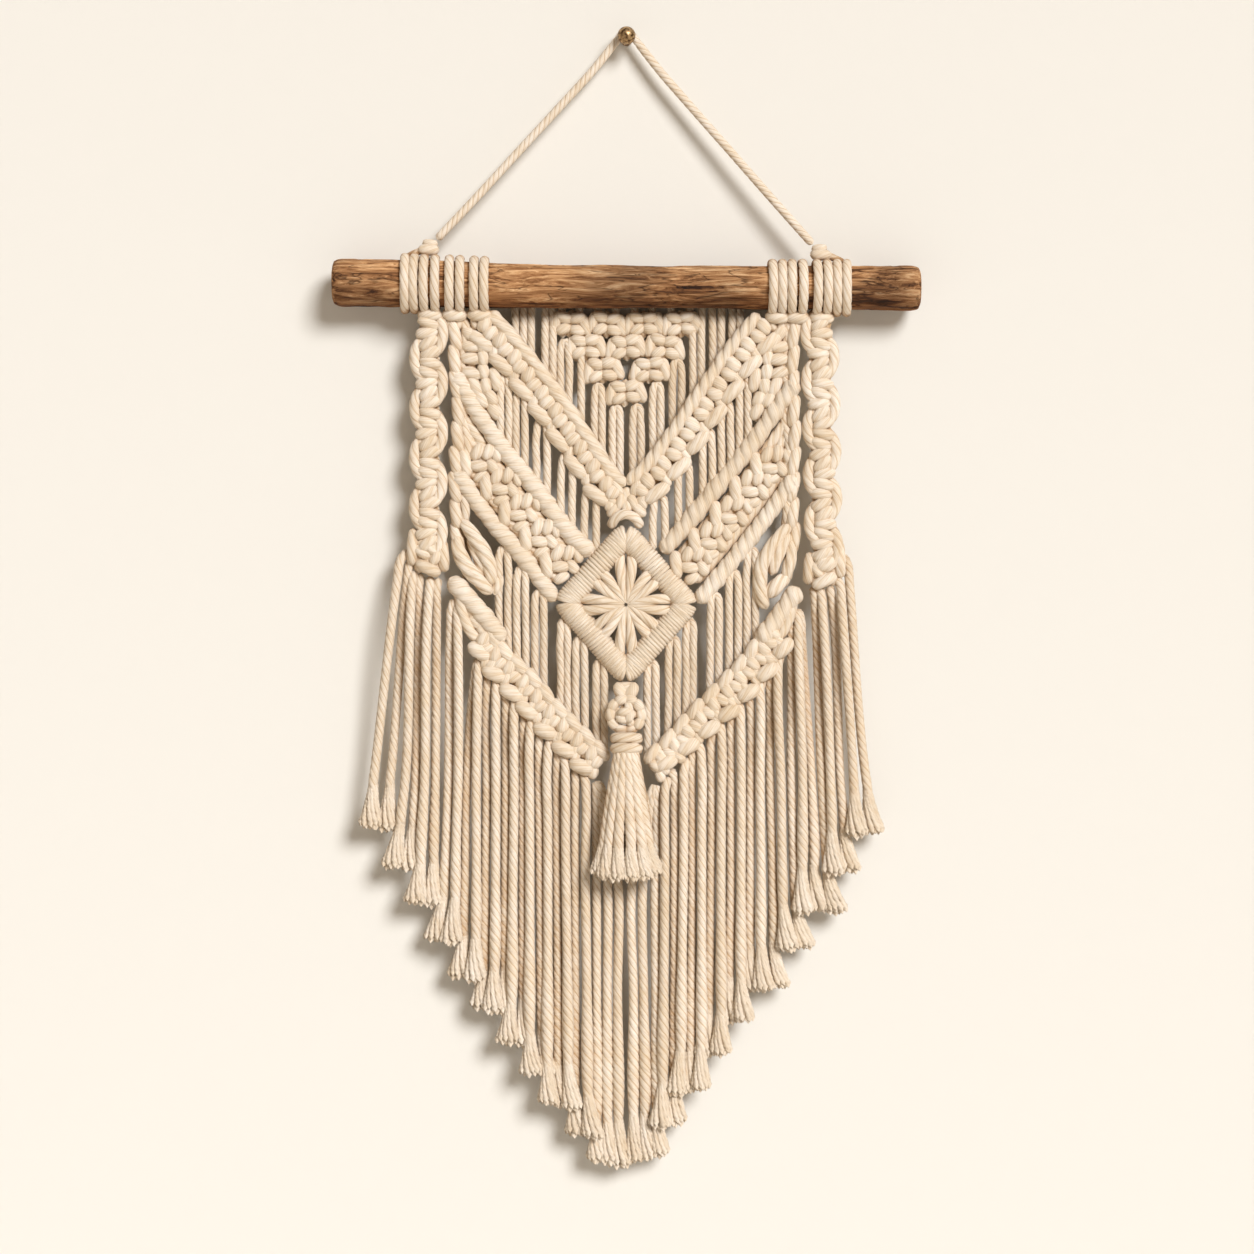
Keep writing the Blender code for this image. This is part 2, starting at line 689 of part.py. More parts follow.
def make_hanger_hitch(side):
    """Two turns of the hanging cord round the rod and the knot that stands on the rod."""
    knot_x, knot_drop = HANGER_KNOTS[side]
    turns = HANGER_HITCHES[side]
    farthest = max(turns, key=lambda x: abs(x - knot_x))
    drop, radius = rod_at(farthest)
    crest = drop - radius - WRAP_GAP - WRAP_THICK * 3 / 4
    tail = [at(farthest, crest, ROD_OUT), at(knot_x, knot_drop - HANGER_TAIL_SINK, ROD_OUT)]
    knot = lump(knot_x, knot_drop, ROD_OUT, HANGER_KNOT_SIZE)
    return fuse("hanger_hitch_" + side, [*(wrap(x) for x in turns), knot, tube(tail, [HANGER_TAIL_R] * 2)])


def snaking_core(side):
    """The middle line of a spiral braid, which sways once each half turn."""
    top_x, top_drop, end_x, end_drop, half_turns, first_way = BRAIDS[side]
    steps = half_turns * BRAID_STEPS
    places = []
    for step in range(steps + 1):
        t = step / steps
        sway = first_way * BRAID_SWAY * math.sin(math.pi * half_turns * t)
        places.append((top_x + (end_x - top_x) * t + sway, top_drop + (end_drop - top_drop) * t, ROD_OUT))
    return places


def make_side_braid(side):
    places = snaking_core(side)
    radii = [BRAID_R * (1.0 if number % BRAID_STEPS else BRAID_CROSSING) for number in range(len(places))]
    braid = flatten(tube([at(*place) for place in places], radii, 1), BRAID_FLATNESS, ROD_OUT)
    end_x, end_drop = BRAIDS[side][2:4]
    hang_xs = [x for tuft in BRAID_FRINGE[side] for x in tuft[2]]
    roots = [(end_x + (x - end_x) * BRAID_ROOT_SPREAD, end_drop) for x in hang_xs]
    end_knot = square_knot(end_x, end_drop, BAND_BACK, BRAID_KNOT_SIZE)
    pieces = [braid, end_knot, *hitch(BRAID_HITCHES[side]), *fringe(BRAID_FRINGE[side], roots)]
    return fuse("side_braid_" + side, pieces)


def fringe(tufts, roots):
    """Free strands from their (x, drop) roots down to the frayed ends of each tuft, in two layers."""
    inward = sorted((x for tuft in tufts for x in tuft[2]), key=abs)
    pieces = []
    for tuft_x, tuft_drop, strand_xs in tufts:
        count = len(strand_xs)
        for place, hang_x in enumerate(strand_xs):
            out = FRINGE_OUTS[0 if abs(hang_x) < BEHIND_TASSEL else inward.index(hang_x) % 2]
            root_x, root_drop = roots[len(pieces)]
            end_x = tuft_x + (place - (count - 1) / 2) * FRAY_PITCH[count - 1]
            fray_drop = tuft_drop - FRAY_LENGTH
            hang_drop = max(min(FRINGE_HANG_DROP, fray_drop - FRAY_RUN), root_drop + FRINGE_ROOT_RUN)
            fray_x = hang_x + (end_x - hang_x) * FRAY_GATHER
            route = [(root_x, root_drop, STRAND_ROOT_OUT), (hang_x, hang_drop, out), (fray_x, fray_drop, out),
                     (end_x, tuft_drop, out)]
            pieces.append(strand(route, [STRAND_R, STRAND_R, STRAND_R, FRAY_R[count - 1]]))
    return pieces


def make_inner_net():
    """The holding cord behind the rod, the triangle of knots and the strands that hang with it."""
    left_end, right_end = NET_CORD_ENDS
    middle_drop, middle_radius = rod_at(0.0)
    cord_out = ROD_OUT - middle_radius - HOLDING_CORD_GAP - HOLDING_CORD_R
    loop_out = cord_out - HOLDING_CORD_BOW
    holding_cord = [at(left_end, rod_at(left_end)[0], loop_out), at(0.0, middle_drop, cord_out),
                    at(right_end, rod_at(right_end)[0], loop_out)]
    pieces = [tube(holding_cord, [HOLDING_CORD_R] * 3)]
    row_one = NET_KNOTS[0][1]
    knot_out = NET_BACK + NET_KNOT_DEPTH / 2
    for number, (x, drop) in enumerate(NET_KNOTS):
        back = NET_BACK + (drop - row_one) * NET_LEAN + BACK_STEP * (number % 2)
        pieces.append(square_knot(x, drop, back, NET_KNOT_SIZE, NET_KNOT_DEPTH))
        if drop == row_one:
            for loop_x in (x - NET_LOOP_STEP, x + NET_LOOP_STEP):
                pieces.append(strand([(loop_x, middle_drop, loop_out), (loop_x, *NET_BEHIND_ROD),
                                      (loop_x, drop, knot_out)]))
    for x in NET_LONG_XS:
        caught = drop_on(UPPER_BAND[side_of(x)], x) - NET_TUCK
        pieces.append(strand([(x, middle_drop, loop_out), (x, *NET_BEHIND_ROD), (x, *NET_BELOW_ROD),
                              (x, caught, TUCK_OUT)]))
    for x, top in NET_SHORT_STRANDS:
        caught = drop_on(UPPER_BAND[side_of(x)], x) - NET_TUCK
        pieces.append(strand([(x, top, knot_out), (x, caught, TUCK_OUT)]))
    return fuse("inner_net", pieces)


def make_chevron_panel():
    pieces = []
    for side in ("left", "right"):
        for turns in PANEL_HITCHES[side]:
            pieces.extend(hitch(turns))
        back = BAND_BACK + (BACK_STEP if side == "left" else 0.0)
        pieces.append(band(UPPER_BAND[side], UPPER_BAND_SIZE, BEADED_SECTION, back))
        pieces.append(band(MIDDLE_BAR[side], CHEVRON_BAR_SIZE))
        pieces.append(band(LOWER_BAR[side], CHEVRON_BAR_SIZE))
        for path in EDGE_CORDS[side]:
            pieces.append(strand([(x, drop, edge_out(drop)) for x, drop in path]))
        for path in LEAF_BUNDLES[side]:
            pieces.append(leaf_bundle(path))
    for number, (x, drop, width, height) in enumerate(PANEL_KNOTS):
        back = BAND_BACK + BACK_STEP * (2 + number % 2)
        pieces.append(square_knot(x, drop, back, (width, height)))
    pieces.append(lump(*CAP_CORD, ROD_OUT, CAP_CORD_SIZE, 6, 4))
    for x in PANEL_STRAND_XS:
        top = drop_on(UPPER_BAND[side_of(x)], x) + PANEL_STRAND_TUCK
        foot = drop_on(MIDDLE_BAR[side_of(x)], x)
        pieces.append(strand([(x, top, STRAND_ROOT_OUT), (x, foot, STRAND_ROOT_OUT)]))
    for x in LOWER_STRAND_XS:
        pieces.append(caught_strand(x, drop_on(LOWER_BAR[side_of(x)], x)))
    return fuse("chevron_panel", pieces)


def edge_out(drop):
    """Edge cords lean back at their foot, behind the lowest band."""
    start, end = EDGE_LEAN
    lean = min(max((drop - start) / (end - start), 0.0), 1.0)
    return ROD_OUT + (TUCK_OUT - ROD_OUT) * lean


def leaf_bundle(path):
    """A bundle of cord that swells from its two tips to its middle."""
    points = curve_through([at(x, drop, LEAF_OUT) for x, drop in path], LEAF_STEPS)
    swells = [math.sin(math.pi * (number + 0.5) / LEAF_STEPS) for number in range(LEAF_STEPS)]
    radii = [LEAF_R * (LEAF_TIP + (1 - LEAF_TIP) * swell) for swell in swells]
    return flatten(tube(points, radii, 1), LEAF_FLATNESS, LEAF_OUT)


def caught_strand(x, top):
    """A strand that hangs from a bar and ends behind the lowest band."""
    foot = drop_on(LOWER_BAND[side_of(x)], x) - LOWER_TUCK
    bend_below, bend_out = CAUGHT_BEND
    return strand([(x, top, CAUGHT_ROOT_OUT), (x, top + bend_below, bend_out),
                   (x, foot - TUCK_LENGTH, TUCK_OUT), (x, foot, TUCK_OUT)])


def diamond_bar(start, end, back):
    """One wrapped bar, which runs a little past the corners so that they close."""
    (x0, drop0), (x1, drop1) = DIAMOND[start], DIAMOND[end]
    length = math.hypot(x1 - x0, drop1 - drop0)
    along_x, along_drop = (x1 - x0) / length * DIAMOND_REACH, (drop1 - drop0) / length * DIAMOND_REACH
    path = ((x0 - along_x, drop0 - along_drop), (x1 + along_x, drop1 + along_drop))
    return band(path, DIAMOND_BAR_SIZE, BAR_SECTION, back)


def make_diamond_medallion():
    """Four wrapped bars, the star of looped cords inside them and the strands below."""
    corners = ("top", "right", "bottom", "left")
    pieces = [diamond_bar(start, end, BAND_BACK + BACK_STEP * (number % 2))
              for number, (start, end) in enumerate(zip(corners, (*corners[1:], corners[0])))]
    middle_x, middle_drop = STAR_MIDDLE
    for number, (angle, reach) in enumerate(STAR_LOOPS):
        back = BAND_BACK + BACK_STEP * (2 + number / 2)
        heading = math.radians(angle)
        points = []
        for along, half_width, depth in LOOP_PAIR_STATIONS:
            away = STAR_SLIT + reach * along
            away_x, away_drop = math.sin(heading) * away, -math.cos(heading) * away
            points.append(at(middle_x + away_x, middle_drop + away_drop, back))
        half_widths = [half_width for along, half_width, depth in LOOP_PAIR_STATIONS]
        depths = [depth for along, half_width, depth in LOOP_PAIR_STATIONS]
        pieces.append(strip(points, half_widths, depths, LOOP_PAIR_SECTION))
    for x in MEDALLION_STRAND_XS:
        edge = (DIAMOND[side_of(x)], DIAMOND["bottom"])
        pieces.append(caught_strand(x, drop_on(edge, x)))
    return fuse("diamond_medallion", pieces)


def fringe_root(side, x):
    """Where a strand of the lowest band starts: on its thick cord near the edge, or on the band."""
    path = LOWER_CORD[side] if abs(x) > BAND_FRINGE_START else LOWER_BAND[side]
    places = sorted(place for place, drop in path)
    root_x = min(max(x, places[0] + BAND_END_INSET), places[-1] - BAND_END_INSET)
    return root_x, drop_on(path, root_x)


def make_lower_band(side):
    """The lowest band of one side, which is the backing of its fringe."""
    roots = [fringe_root(side, x) for tuft in BAND_FRINGE[side] for x in tuft[2]]
    mirrored = [(-reach, ridge, valley) for reach, ridge, valley in reversed(LOWER_BAND_SECTION)]
    section = LOWER_BAND_SECTION if side == "left" else mirrored
    pieces = [band(LOWER_BAND[side], LOWER_BAND_SIZE, section),
              band(LOWER_CORD[side], LOWER_CORD_SIZE, BAR_SECTION, BAND_BACK + BACK_STEP),
              *fringe(BAND_FRINGE[side], roots)]
    return fuse("lower_band_" + side, pieces)


def make_ball_tassel():
    """The collar under the diamond, the ring with its ball, the wrapped neck and the skirt."""
    major_segments, minor_segments = RING_SEGMENTS
    bpy.ops.mesh.primitive_torus_add(major_segments=major_segments, minor_segments=minor_segments,
                                     major_radius=RING_R * MM, minor_radius=RING_CORD_R * MM)
    ring = bpy.context.active_object
    ring.data.transform(Matrix.Translation(at(*RING_MIDDLE, RING_OUT)) @ Matrix.Rotation(math.pi / 2, 4, "X"))
    neck_points = [at(0.0, drop, out) for drop, out, radius in NECK_STATIONS]
    neck_radii = [radius for drop, out, radius in NECK_STATIONS]
    neck = flatten(tube(neck_points, neck_radii, 1), NECK_FLATNESS, NECK_STATIONS[2][1])
    collar = lump(*COLLAR, COLLAR_OUT, COLLAR_SIZE)
    ball = lump(*RING_MIDDLE, RING_OUT, (BALL_R * 2,) * 3)
    return fuse("ball_tassel", [collar, ring, ball, neck, *skirt()])


def skirt():
    """The tassel's strands, set round an oval and opening out towards their frayed ends."""
    pieces = []
    last_drop = SKIRT_STATIONS[-1][0]
    for number in range(SKIRT_STRANDS):
        angle = math.tau * number / SKIRT_STRANDS
        across, forward = math.sin(angle), math.cos(angle)
        route = []
        for drop, half_width, half_depth, radius in SKIRT_STATIONS:
            tilt = SKIRT_TILT * forward * drop / last_drop if drop > SKIRT_STATIONS[0][0] else 0.0
            route.append((half_width * across, drop + tilt, TASSEL_OUT + half_depth * forward))
        pieces.append(strand(route, [radius for drop, half_width, half_depth, radius in SKIRT_STATIONS]))
    return pieces


def build():
    clear_scene()
    collection = bpy.data.collections.new(OBJECT_NAME)
    bpy.context.scene.collection.children.link(collection)
    cotton = make_material(*COTTON)
    finish(make_rod(), collection, make_material(*WOOD))
    finish(make_wall_peg(), collection, make_material(*BRONZE))
    cotton_parts = [make_hanger_cord(), make_inner_net(), make_chevron_panel(), make_diamond_medallion(),
                    make_ball_tassel()]
    for side in ("left", "right"):
        cotton_parts.append(make_hanger_hitch(side))
        cotton_parts.append(make_side_braid(side))
        cotton_parts.append(make_lower_band(side))
    for part in cotton_parts:
        finish(part, collection, cotton)


build()
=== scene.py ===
"""Looks of the macrame wall hanging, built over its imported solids.

Lengths are in millimetres and are turned into metres where a mesh is made.
A place is (x, drop, out): right of the peg, below the peg, and in front of the wall.
"""
import math

import bpy
import numpy as np
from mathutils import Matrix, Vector, noise

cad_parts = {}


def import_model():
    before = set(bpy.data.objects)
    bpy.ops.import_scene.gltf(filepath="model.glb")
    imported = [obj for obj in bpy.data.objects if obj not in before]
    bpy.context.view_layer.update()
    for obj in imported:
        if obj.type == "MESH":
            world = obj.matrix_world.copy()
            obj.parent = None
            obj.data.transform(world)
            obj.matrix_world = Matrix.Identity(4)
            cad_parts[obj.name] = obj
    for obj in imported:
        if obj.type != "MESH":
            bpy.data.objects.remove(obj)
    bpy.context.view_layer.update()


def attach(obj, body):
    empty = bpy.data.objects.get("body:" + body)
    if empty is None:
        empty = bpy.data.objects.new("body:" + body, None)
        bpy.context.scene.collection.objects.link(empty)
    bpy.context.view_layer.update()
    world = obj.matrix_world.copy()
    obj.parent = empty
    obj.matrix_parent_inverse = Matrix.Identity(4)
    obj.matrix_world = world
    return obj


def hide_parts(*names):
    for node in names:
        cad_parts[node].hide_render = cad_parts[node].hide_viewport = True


MM = 0.001
SEED = 7

# The cord: four plies, laid so that their marks run down to the right
CORD_R = 2.75
INNER_CORD_R = 2.35
PLIES = 4
PITCH = 20.0
RING_SIDES = 16
RING_STEP = 1.45
PLY_GROOVE = 0.13

# How deep a place lies among the cords, which sets the painted shade that makes it darker and warmer
RECESS_CELL = 1.2
RECESS_REACH = 3
RECESS_DEPTH = 7.0

# The rod
ROD_OUT = 18.0
ROD_STATIONS = (
    # x, drop, radius
    (-164.4, 138.8, 9.6),
    (-163.6, 138.8, 11.9),
    (-161.6, 138.8, 13.0),
    (-159.0, 138.9, 13.4),
    (-132.0, 139.1, 13.2),
    (-95.0, 139.8, 12.6),
    (-60.0, 140.6, 11.9),
    (-20.0, 141.0, 11.8),
    (25.0, 141.2, 11.6),
    (70.0, 141.5, 12.0),
    (110.0, 141.7, 12.3),
    (140.0, 141.8, 12.1),
    (159.5, 141.8, 12.4),
    (162.6, 141.8, 11.8),
    (163.8, 141.8, 10.8),
    (164.4, 141.8, 9.0),
)
ROD_STEP = 0.8
ROD_SIDES = 96
ROD_END_BULGE = 0.2
ROD_KNOTS = (
    # x, angle round the rod from the front in degrees, size
    (-52.0, 8.0, 7.0),
    (-128.0, -25.0, 6.0),
    (22.0, -30.0, 6.5),
    (142.0, 20.0, 6.0),
)

# The peg, turned about its own axis
PEG_PROFILE = (
    # radius, out
    (0.0, 0.0),
    (3.2, 0.0),
    (3.2, 1.6),
    (2.9, 2.0),
    (1.3, 2.8),
    (1.15, 10.9),
)
PEG_HEAD_R = 5.1
PEG_HEAD_STEPS = 24
PEG_HEAD_OUT = 16.0
PEG_SIDES = 64

# The hanging cord
HANGER_R = 2.4
HANGER_PRESSED = 0.45
HANGER_BEND = 6.0
HANGER_ROUTE = (
    # x, drop, out
    (-106.2, 114.4, 17.6),
    (-82.5, 89.0, 15.4),
    (-59.0, 63.0, 13.3),
    (-35.0, 36.6, 11.2),
    (-18.0, 17.6, 9.7),
    (-7.6, 4.4, 8.6),
    (-5.0, 0.9, 8.2),
    (-2.6, -2.6, 8.0),
    (0.0, -3.9, 8.0),
    (2.6, -2.6, 8.0),
    (5.0, 0.9, 8.2),
    (7.6, 4.4, 8.6),
    (18.0, 17.9, 9.7),
    (35.0, 37.8, 11.2),
    (58.0, 64.2, 13.3),
    (81.0, 90.8, 15.4),
    (104.2, 117.2, 17.6),
)
HANGER_HITCHES = {"left": (-123.9, -118.5), "right": (117.8, 123.1)}
HANGER_KNOTS = {"left": (-110.0, 118.6), "right": (108.0, 121.4)}

# Hitches on the rod: the middles of the two turns of each
BRAID_HITCHES = {"left": (-112.9, -107.0), "right": (106.4, 112.1)}
PANEL_HITCHES = {
    "left": ((-99.0, -93.2), (-85.2, -79.4)),
    "right": ((81.6, 87.2), (92.6, 98.3)),
}
WRAP_R = 2.7
WRAP_CLEAR = 1.75

# Spiral braids
BRAID_TOPS = {
    # where each strand of the braid's fringe comes out: x, drop
    "left": ((-122.0, 289.5), (-118.6, 292.5), (-118.4, 301.0), (-115.2, 302.0), (-109.4, 304.0),
             (-105.8, 304.5)),
    "right": ((117.0, 303.5), (120.6, 292.0), (107.2, 309.5), (113.4, 309.0), (104.0, 309.0)),
}
BRAIDS = {
    # top x, top drop, end x, end drop, half turns, which way it goes first
    "left": (-110.5, 160.0, -111.0, 299.0, 10, 1),
    "right": (107.9, 160.4, 110.7, 306.0, 11, -1),
}
BRAID_RUNG_PITCH = 5.6
BRAID_BULGE = (
    # along the bulge, sideways, out, how thick
    (-1.0, 0.6, -2.0, 0.9),
    (-0.72, 4.7, -0.4, 1.0),
    (-0.38, 7.2, 0.9, 1.06),
    (0.0, 7.8, 1.2, 1.12),
    (0.38, 7.2, 1.4, 1.06),
    (0.72, 4.8, 1.6, 1.0),
    (1.0, 1.0, 0.4, 0.9),
)

# The turns of each knot: sideways, drop and out from its middle, angle, lean, length, radius, sink.
# Sideways and lean are mirrored where the knot is.
END_KNOT_LOOPS = (
    (-8.7, -12.4, 1.0, 90, 3, 21.0, 3.2, 3.0),
    (8.5, -7.4, 0.8, 90, -4, 18.0, 3.25, 3.0),
)
END_KNOT_TURNS = (
    (0.6, -15.2, 1.6, -16, 0, 15.0, 2.9, 1.8),
    (-3.2, -9.2, 2.0, 90, -54, 11.0, 2.9, 2.2),
    (1.2, -11.6, 2.4, 90, -50, 10.0, 2.8, 2.0),
    (4.2, -6.2, 2.2, 90, 34, 9.8, 2.8, 2.0),
    (0.0, -0.4, 2.0, 90, -64, 15.0, 3.4, 2.8),
    (0.0, -7.0, -2.2, 90, 0, 17.0, 4.6, 0.8),
    (-5.0, -6.0, -2.4, 90, 0, 17.0, 3.4, 0.8),
    (5.0, -4.0, -2.4, 90, 0, 14.0, 3.4, 0.8),
)
JUNCTION_SIDE_TURNS = (
    (5.4, -5.0, 1.6, 90, 28, 11.0, 2.9, 2.0),
    (9.0, 1.0, 0.8, 90, 40, 10.0, 2.8, 2.2),
    (3.4, 3.0, 1.4, 90, -22, 10.0, 2.8, 2.0),
    (6.6, 7.0, 0.6, 90, -44, 11.0, 3.0, 2.0),
)
JUNCTION_TURNS = (
    (0.0, -1.0, 0.2, 90, 0, 9.0, 2.8, 1.5),
    (0.0, 6.0, 1.2, 90, 0, 8.0, 3.0, 1.5),
)
COLLAR_SIDE_TURNS = (
    (3.0, 0.2, -2.0, 90, 24, 11.0, 3.6, 1.6),
)
COLLAR_TURNS = (
    (0.0, 0.8, -3.0, 90, 0, 9.0, 3.2, 0.8),
    (0.0, -2.4, -2.6, 0, 0, 12.0, 2.8, 1.8),
)

# Bands and bars as (x, drop) points along each one's middle, from the outside in
UPPER_BAND = {
    "left": ((-82.5, 160.0), (-67.0, 176.8), (-52.9, 194.3), (-37.2, 215.6), (-24.4, 234.6), (-12.5, 251.5),
             (-5.5, 258.0)),
    "right": ((80.0, 161.0), (65.2, 178.6), (49.0, 201.6), (33.8, 224.0), (20.0, 242.5), (5.5, 257.0)),
}
MIDDLE_BAR = {
    "left": ((-96.5, 189.0), (-86.5, 206.5), (-71.0, 229.0), (-50.5, 254.5), (-30.9, 280.0), (-19.2, 291.2)),
    "right": ((95.5, 193.5), (86.0, 206.5), (66.5, 234.0), (49.0, 255.0), (30.0, 278.0), (19.6, 289.6)),
}
LOWER_BAR = {
    "left": ((-96.0, 243.5), (-86.5, 257.5), (-74.5, 273.5), (-58.5, 291.5), (-39.4, 317.0)),
    "right": ((95.5, 246.5), (88.5, 256.0), (79.0, 269.0), (59.5, 294.0), (39.4, 317.8)),
}
UPPER_BAR_MARKS = {
    # between the marks of the upper band's laid bar, and how deep they are
    "left": (13.5, 0.13),
    "right": (7.6, 0.2),
}
UPPER_BEADS = (
    # along the band, towards the rod, lean, length
    (-2.9, 1.0, -12, 10.0), (3.1, -0.2, 12, 9.2),
)
EDGE_CORDS = {
    # the outer cord, then the inner one
    "left": (
        ((-95.8, 160.0), (-96.4, 185.0), (-94.0, 215.0), (-96.2, 250.0), (-95.0, 286.0), (-95.2, 308.0)),
        ((-91.0, 160.0), (-91.2, 190.0), (-89.6, 225.0), (-91.4, 262.0), (-90.2, 286.0), (-90.4, 312.0)),
    ),
    "right": (
        ((93.8, 160.0), (93.0, 190.0), (94.2, 225.0), (92.8, 262.0), (94.4, 286.0), (94.2, 310.0)),
        ((89.6, 160.0), (88.8, 190.0), (90.4, 225.0), (88.8, 262.0), (90.0, 286.0), (90.0, 312.0)),
    ),
}
EDGE_TOP, EDGE_END = 158.0, 306.0
PANEL_KNOTS = (
    # x, drop
    (-81.5, 237.0), (-70.2, 250.4), (-59.5, 264.5), (-48.0, 279.0), (-36.5, 293.5),
    (81.0, 238.5), (70.0, 251.5), (58.5, 266.0), (47.0, 280.5), (36.5, 294.1),
)
WOVEN_TURNS = (
    # sideways, drop, out, angle, length, radius, sink
    (-6.2, 1.2, 1.1, 84, 14.8, 3.3, 2.4),
    (-0.6, -4.4, 1.0, -62, 9.6, 3.0, 1.8),
    (4.6, -5.0, 0.8, -66, 9.2, 3.0, 1.8),
    (9.2, -3.6, 0.0, 84, 8.8, 2.8, 1.8),
    (0.4, 2.6, 1.2, 6, 10.2, 3.0, 1.8),
    (6.6, 2.8, 0.6, 58, 8.2, 2.9, 1.8),
    (1.6, 8.0, -0.2, -24, 9.0, 2.8, 1.8),
)
FILL_OUT = 14.8
SHOULDER_MIRROR = -1.5
SHOULDER_TURNS = (
    # x, drop, angle, length
    (-87.6, 167.4, 42.0, 9.0), (-87.2, 174.6, 6.0, 10.5), (-81.2, 174.2, 82.0, 8.4),
    (-87.0, 181.6, 4.0, 11.0), (-80.4, 181.4, 84.0, 8.4), (-87.0, 189.4, 16.0, 10.5),
    (-80.0, 188.6, 80.0, 8.6), (-84.4, 196.8, 62.0, 12.0), (-78.6, 196.4, 84.0, 9.0),
    (-73.6, 193.0, 74.0, 13.0), (-80.6, 204.6, 52.0, 9.0), (-75.4, 203.6, 60.0, 9.0),
    (-74.4, 210.6, 58.0, 10.0),
)
JUNCTION = (0.0, 258.5)
CAP_CORD = (
    # x, drop, out
    (-8.9, 276.0, 15.5), (-6.7, 271.4, 19.0), (-0.5, 268.4, 21.2), (5.7, 271.4, 19.0), (7.9, 276.0, 15.5),
)
PANEL_STRAND_XS = (-70.5, -66.0, -62.0, -57.0, -50.5, -44.5, -36.5, -30.5, -23.5, -17.0,
                   15.0, 21.5, 29.0, 35.5, 42.5, 48.0, 53.3, 58.3, 63.2, 68.1)
LOWER_STRAND_XS = (-71.5, -66.3, -61.5, -56.5, -51.5, -46.3, 47.0, 52.0, 57.5, 62.7, 67.5, 72.5)
MEDALLION_STRAND_XS = (-37.0, -33.0, -28.5, -23.3, -17.0, -12.4, 11.5, 16.5, 23.5, 28.5, 33.5, 37.5)
LEAF_CORDS = {
    # radius of each thick cord, and its places as x, drop, out
    "left": (
        (4.2, ((-92.3, 271.5, 17.0), (-85.0, 281.3, 19.0), (-79.3, 290.3, 19.4), (-76.2, 299.2, 18.6),
               (-75.4, 308.0, 16.6))),
        (3.0, ((-88.5, 281.0, 15.6), (-84.2, 290.5, 17.2), (-80.8, 298.5, 17.2), (-78.8, 304.5, 15.6))),
        (4.3, ((-94.6, 279.0, 15.0), (-94.0, 288.5, 17.4), (-89.2, 298.0, 18.8), (-82.6, 305.6, 18.8),
               (-75.4, 313.0, 17.0))),
        (2.9, ((-72.6, 298.0, 14.6), (-71.6, 306.0, 16.0), (-74.2, 313.6, 15.8))),
    ),
    "right": (
        (4.0, ((91.6, 274.0, 16.4), (82.4, 284.6, 19.2), (76.0, 296.2, 19.2), (74.8, 306.7, 18.4),
               (76.0, 315.0, 17.0), (78.4, 321.6, 15.0))),
        (3.5, ((91.5, 279.0, 16.8), (86.6, 287.5, 18.4), (83.4, 295.0, 18.0), (81.0, 302.6, 16.0))),
        (3.5, ((92.2, 281.5, 15.6), (92.2, 291.8, 17.0), (90.4, 299.2, 17.0), (88.4, 306.0, 15.8))),
        (4.3, ((91.0, 302.5, 15.4), (84.0, 308.4, 18.0), (78.6, 315.0, 16.4))),
    ),
}

# The wrapped diamond and its star of looped cord
DIAMOND = {"top": (-0.5, 279.8), "left": (-34.3, 318.0), "bottom": (-0.3, 357.3), "right": (34.0, 318.6)}
DIAMOND_WRAP_PITCH = 2.05
DIAMOND_FAN = 6.5
STAR_MIDDLE = (-0.3, 319.0)
STAR_LOOPS = (
    # angle of the pair of loops in degrees from straight up, clockwise; its reach
    (0, 30.5), (45, 27.0), (90, 28.5), (135, 27.0), (180, 31.0), (225, 27.0), (270, 28.0), (315, 27.0),
)
STAR_CORD = (
    # share of the reach, from the loop's middle line, out, how thick
    (0.03, 0.3, 20.4, 0.38),
    (0.25, 1.3, 21.0, 0.66),
    (0.58, 2.3, 20.7, 1.0),
    (0.84, 2.4, 18.0, 1.02),
    (1.0, 1.6, 15.0, 0.74),
)

# The triangle of square knots behind the rod
NET_KNOTS = (
    # x, drop
    (-31.5, 161.0), (-11.0, 161.0), (9.5, 161.0), (30.5, 161.0),
    (-23.0, 174.0), (-0.5, 174.0), (21.5, 174.0),
    (-13.5, 187.0), (13.0, 187.0),
    (-0.5, 199.5),
)
NET_KNOT_SIZE = (21.0, 14.6)
NET_HOLDING_CORD = (
    # x, out, at the rod's own drop
    (-76.0, 2.9), (0.0, 3.0), (78.2, 2.9),
)
NET_HOLDING_R = 2.2
# drop, out, from the holding cord down
NET_KNOT_TOP = ((141.0, 3.2), (150.0, 4.6))
NET_STRAND_TOP = ((141.0, 2.9), (150.0, 4.6), (162.0, 9.4))
NET_LONG_XS = (-62.5, -58.0, -53.5, -45.6, -41.5, 42.3, 48.4, 53.5, 59.6, 64.1)
NET_SHORT_STRANDS = (
    # x, top drop
    (-25.5, 174.0), (37.2, 158.0),
)
NET_PAIRS = (
    # left x, right x, drop of the bend between them
    (-37.2, -32.2, 171.0), (-18.2, -13.7, 196.0), (-8.1, -3.6, 207.6), (3.6, 8.1, 207.6), (14.8, 19.3, 195.0),
    (26.0, 31.1, 182.0),
)

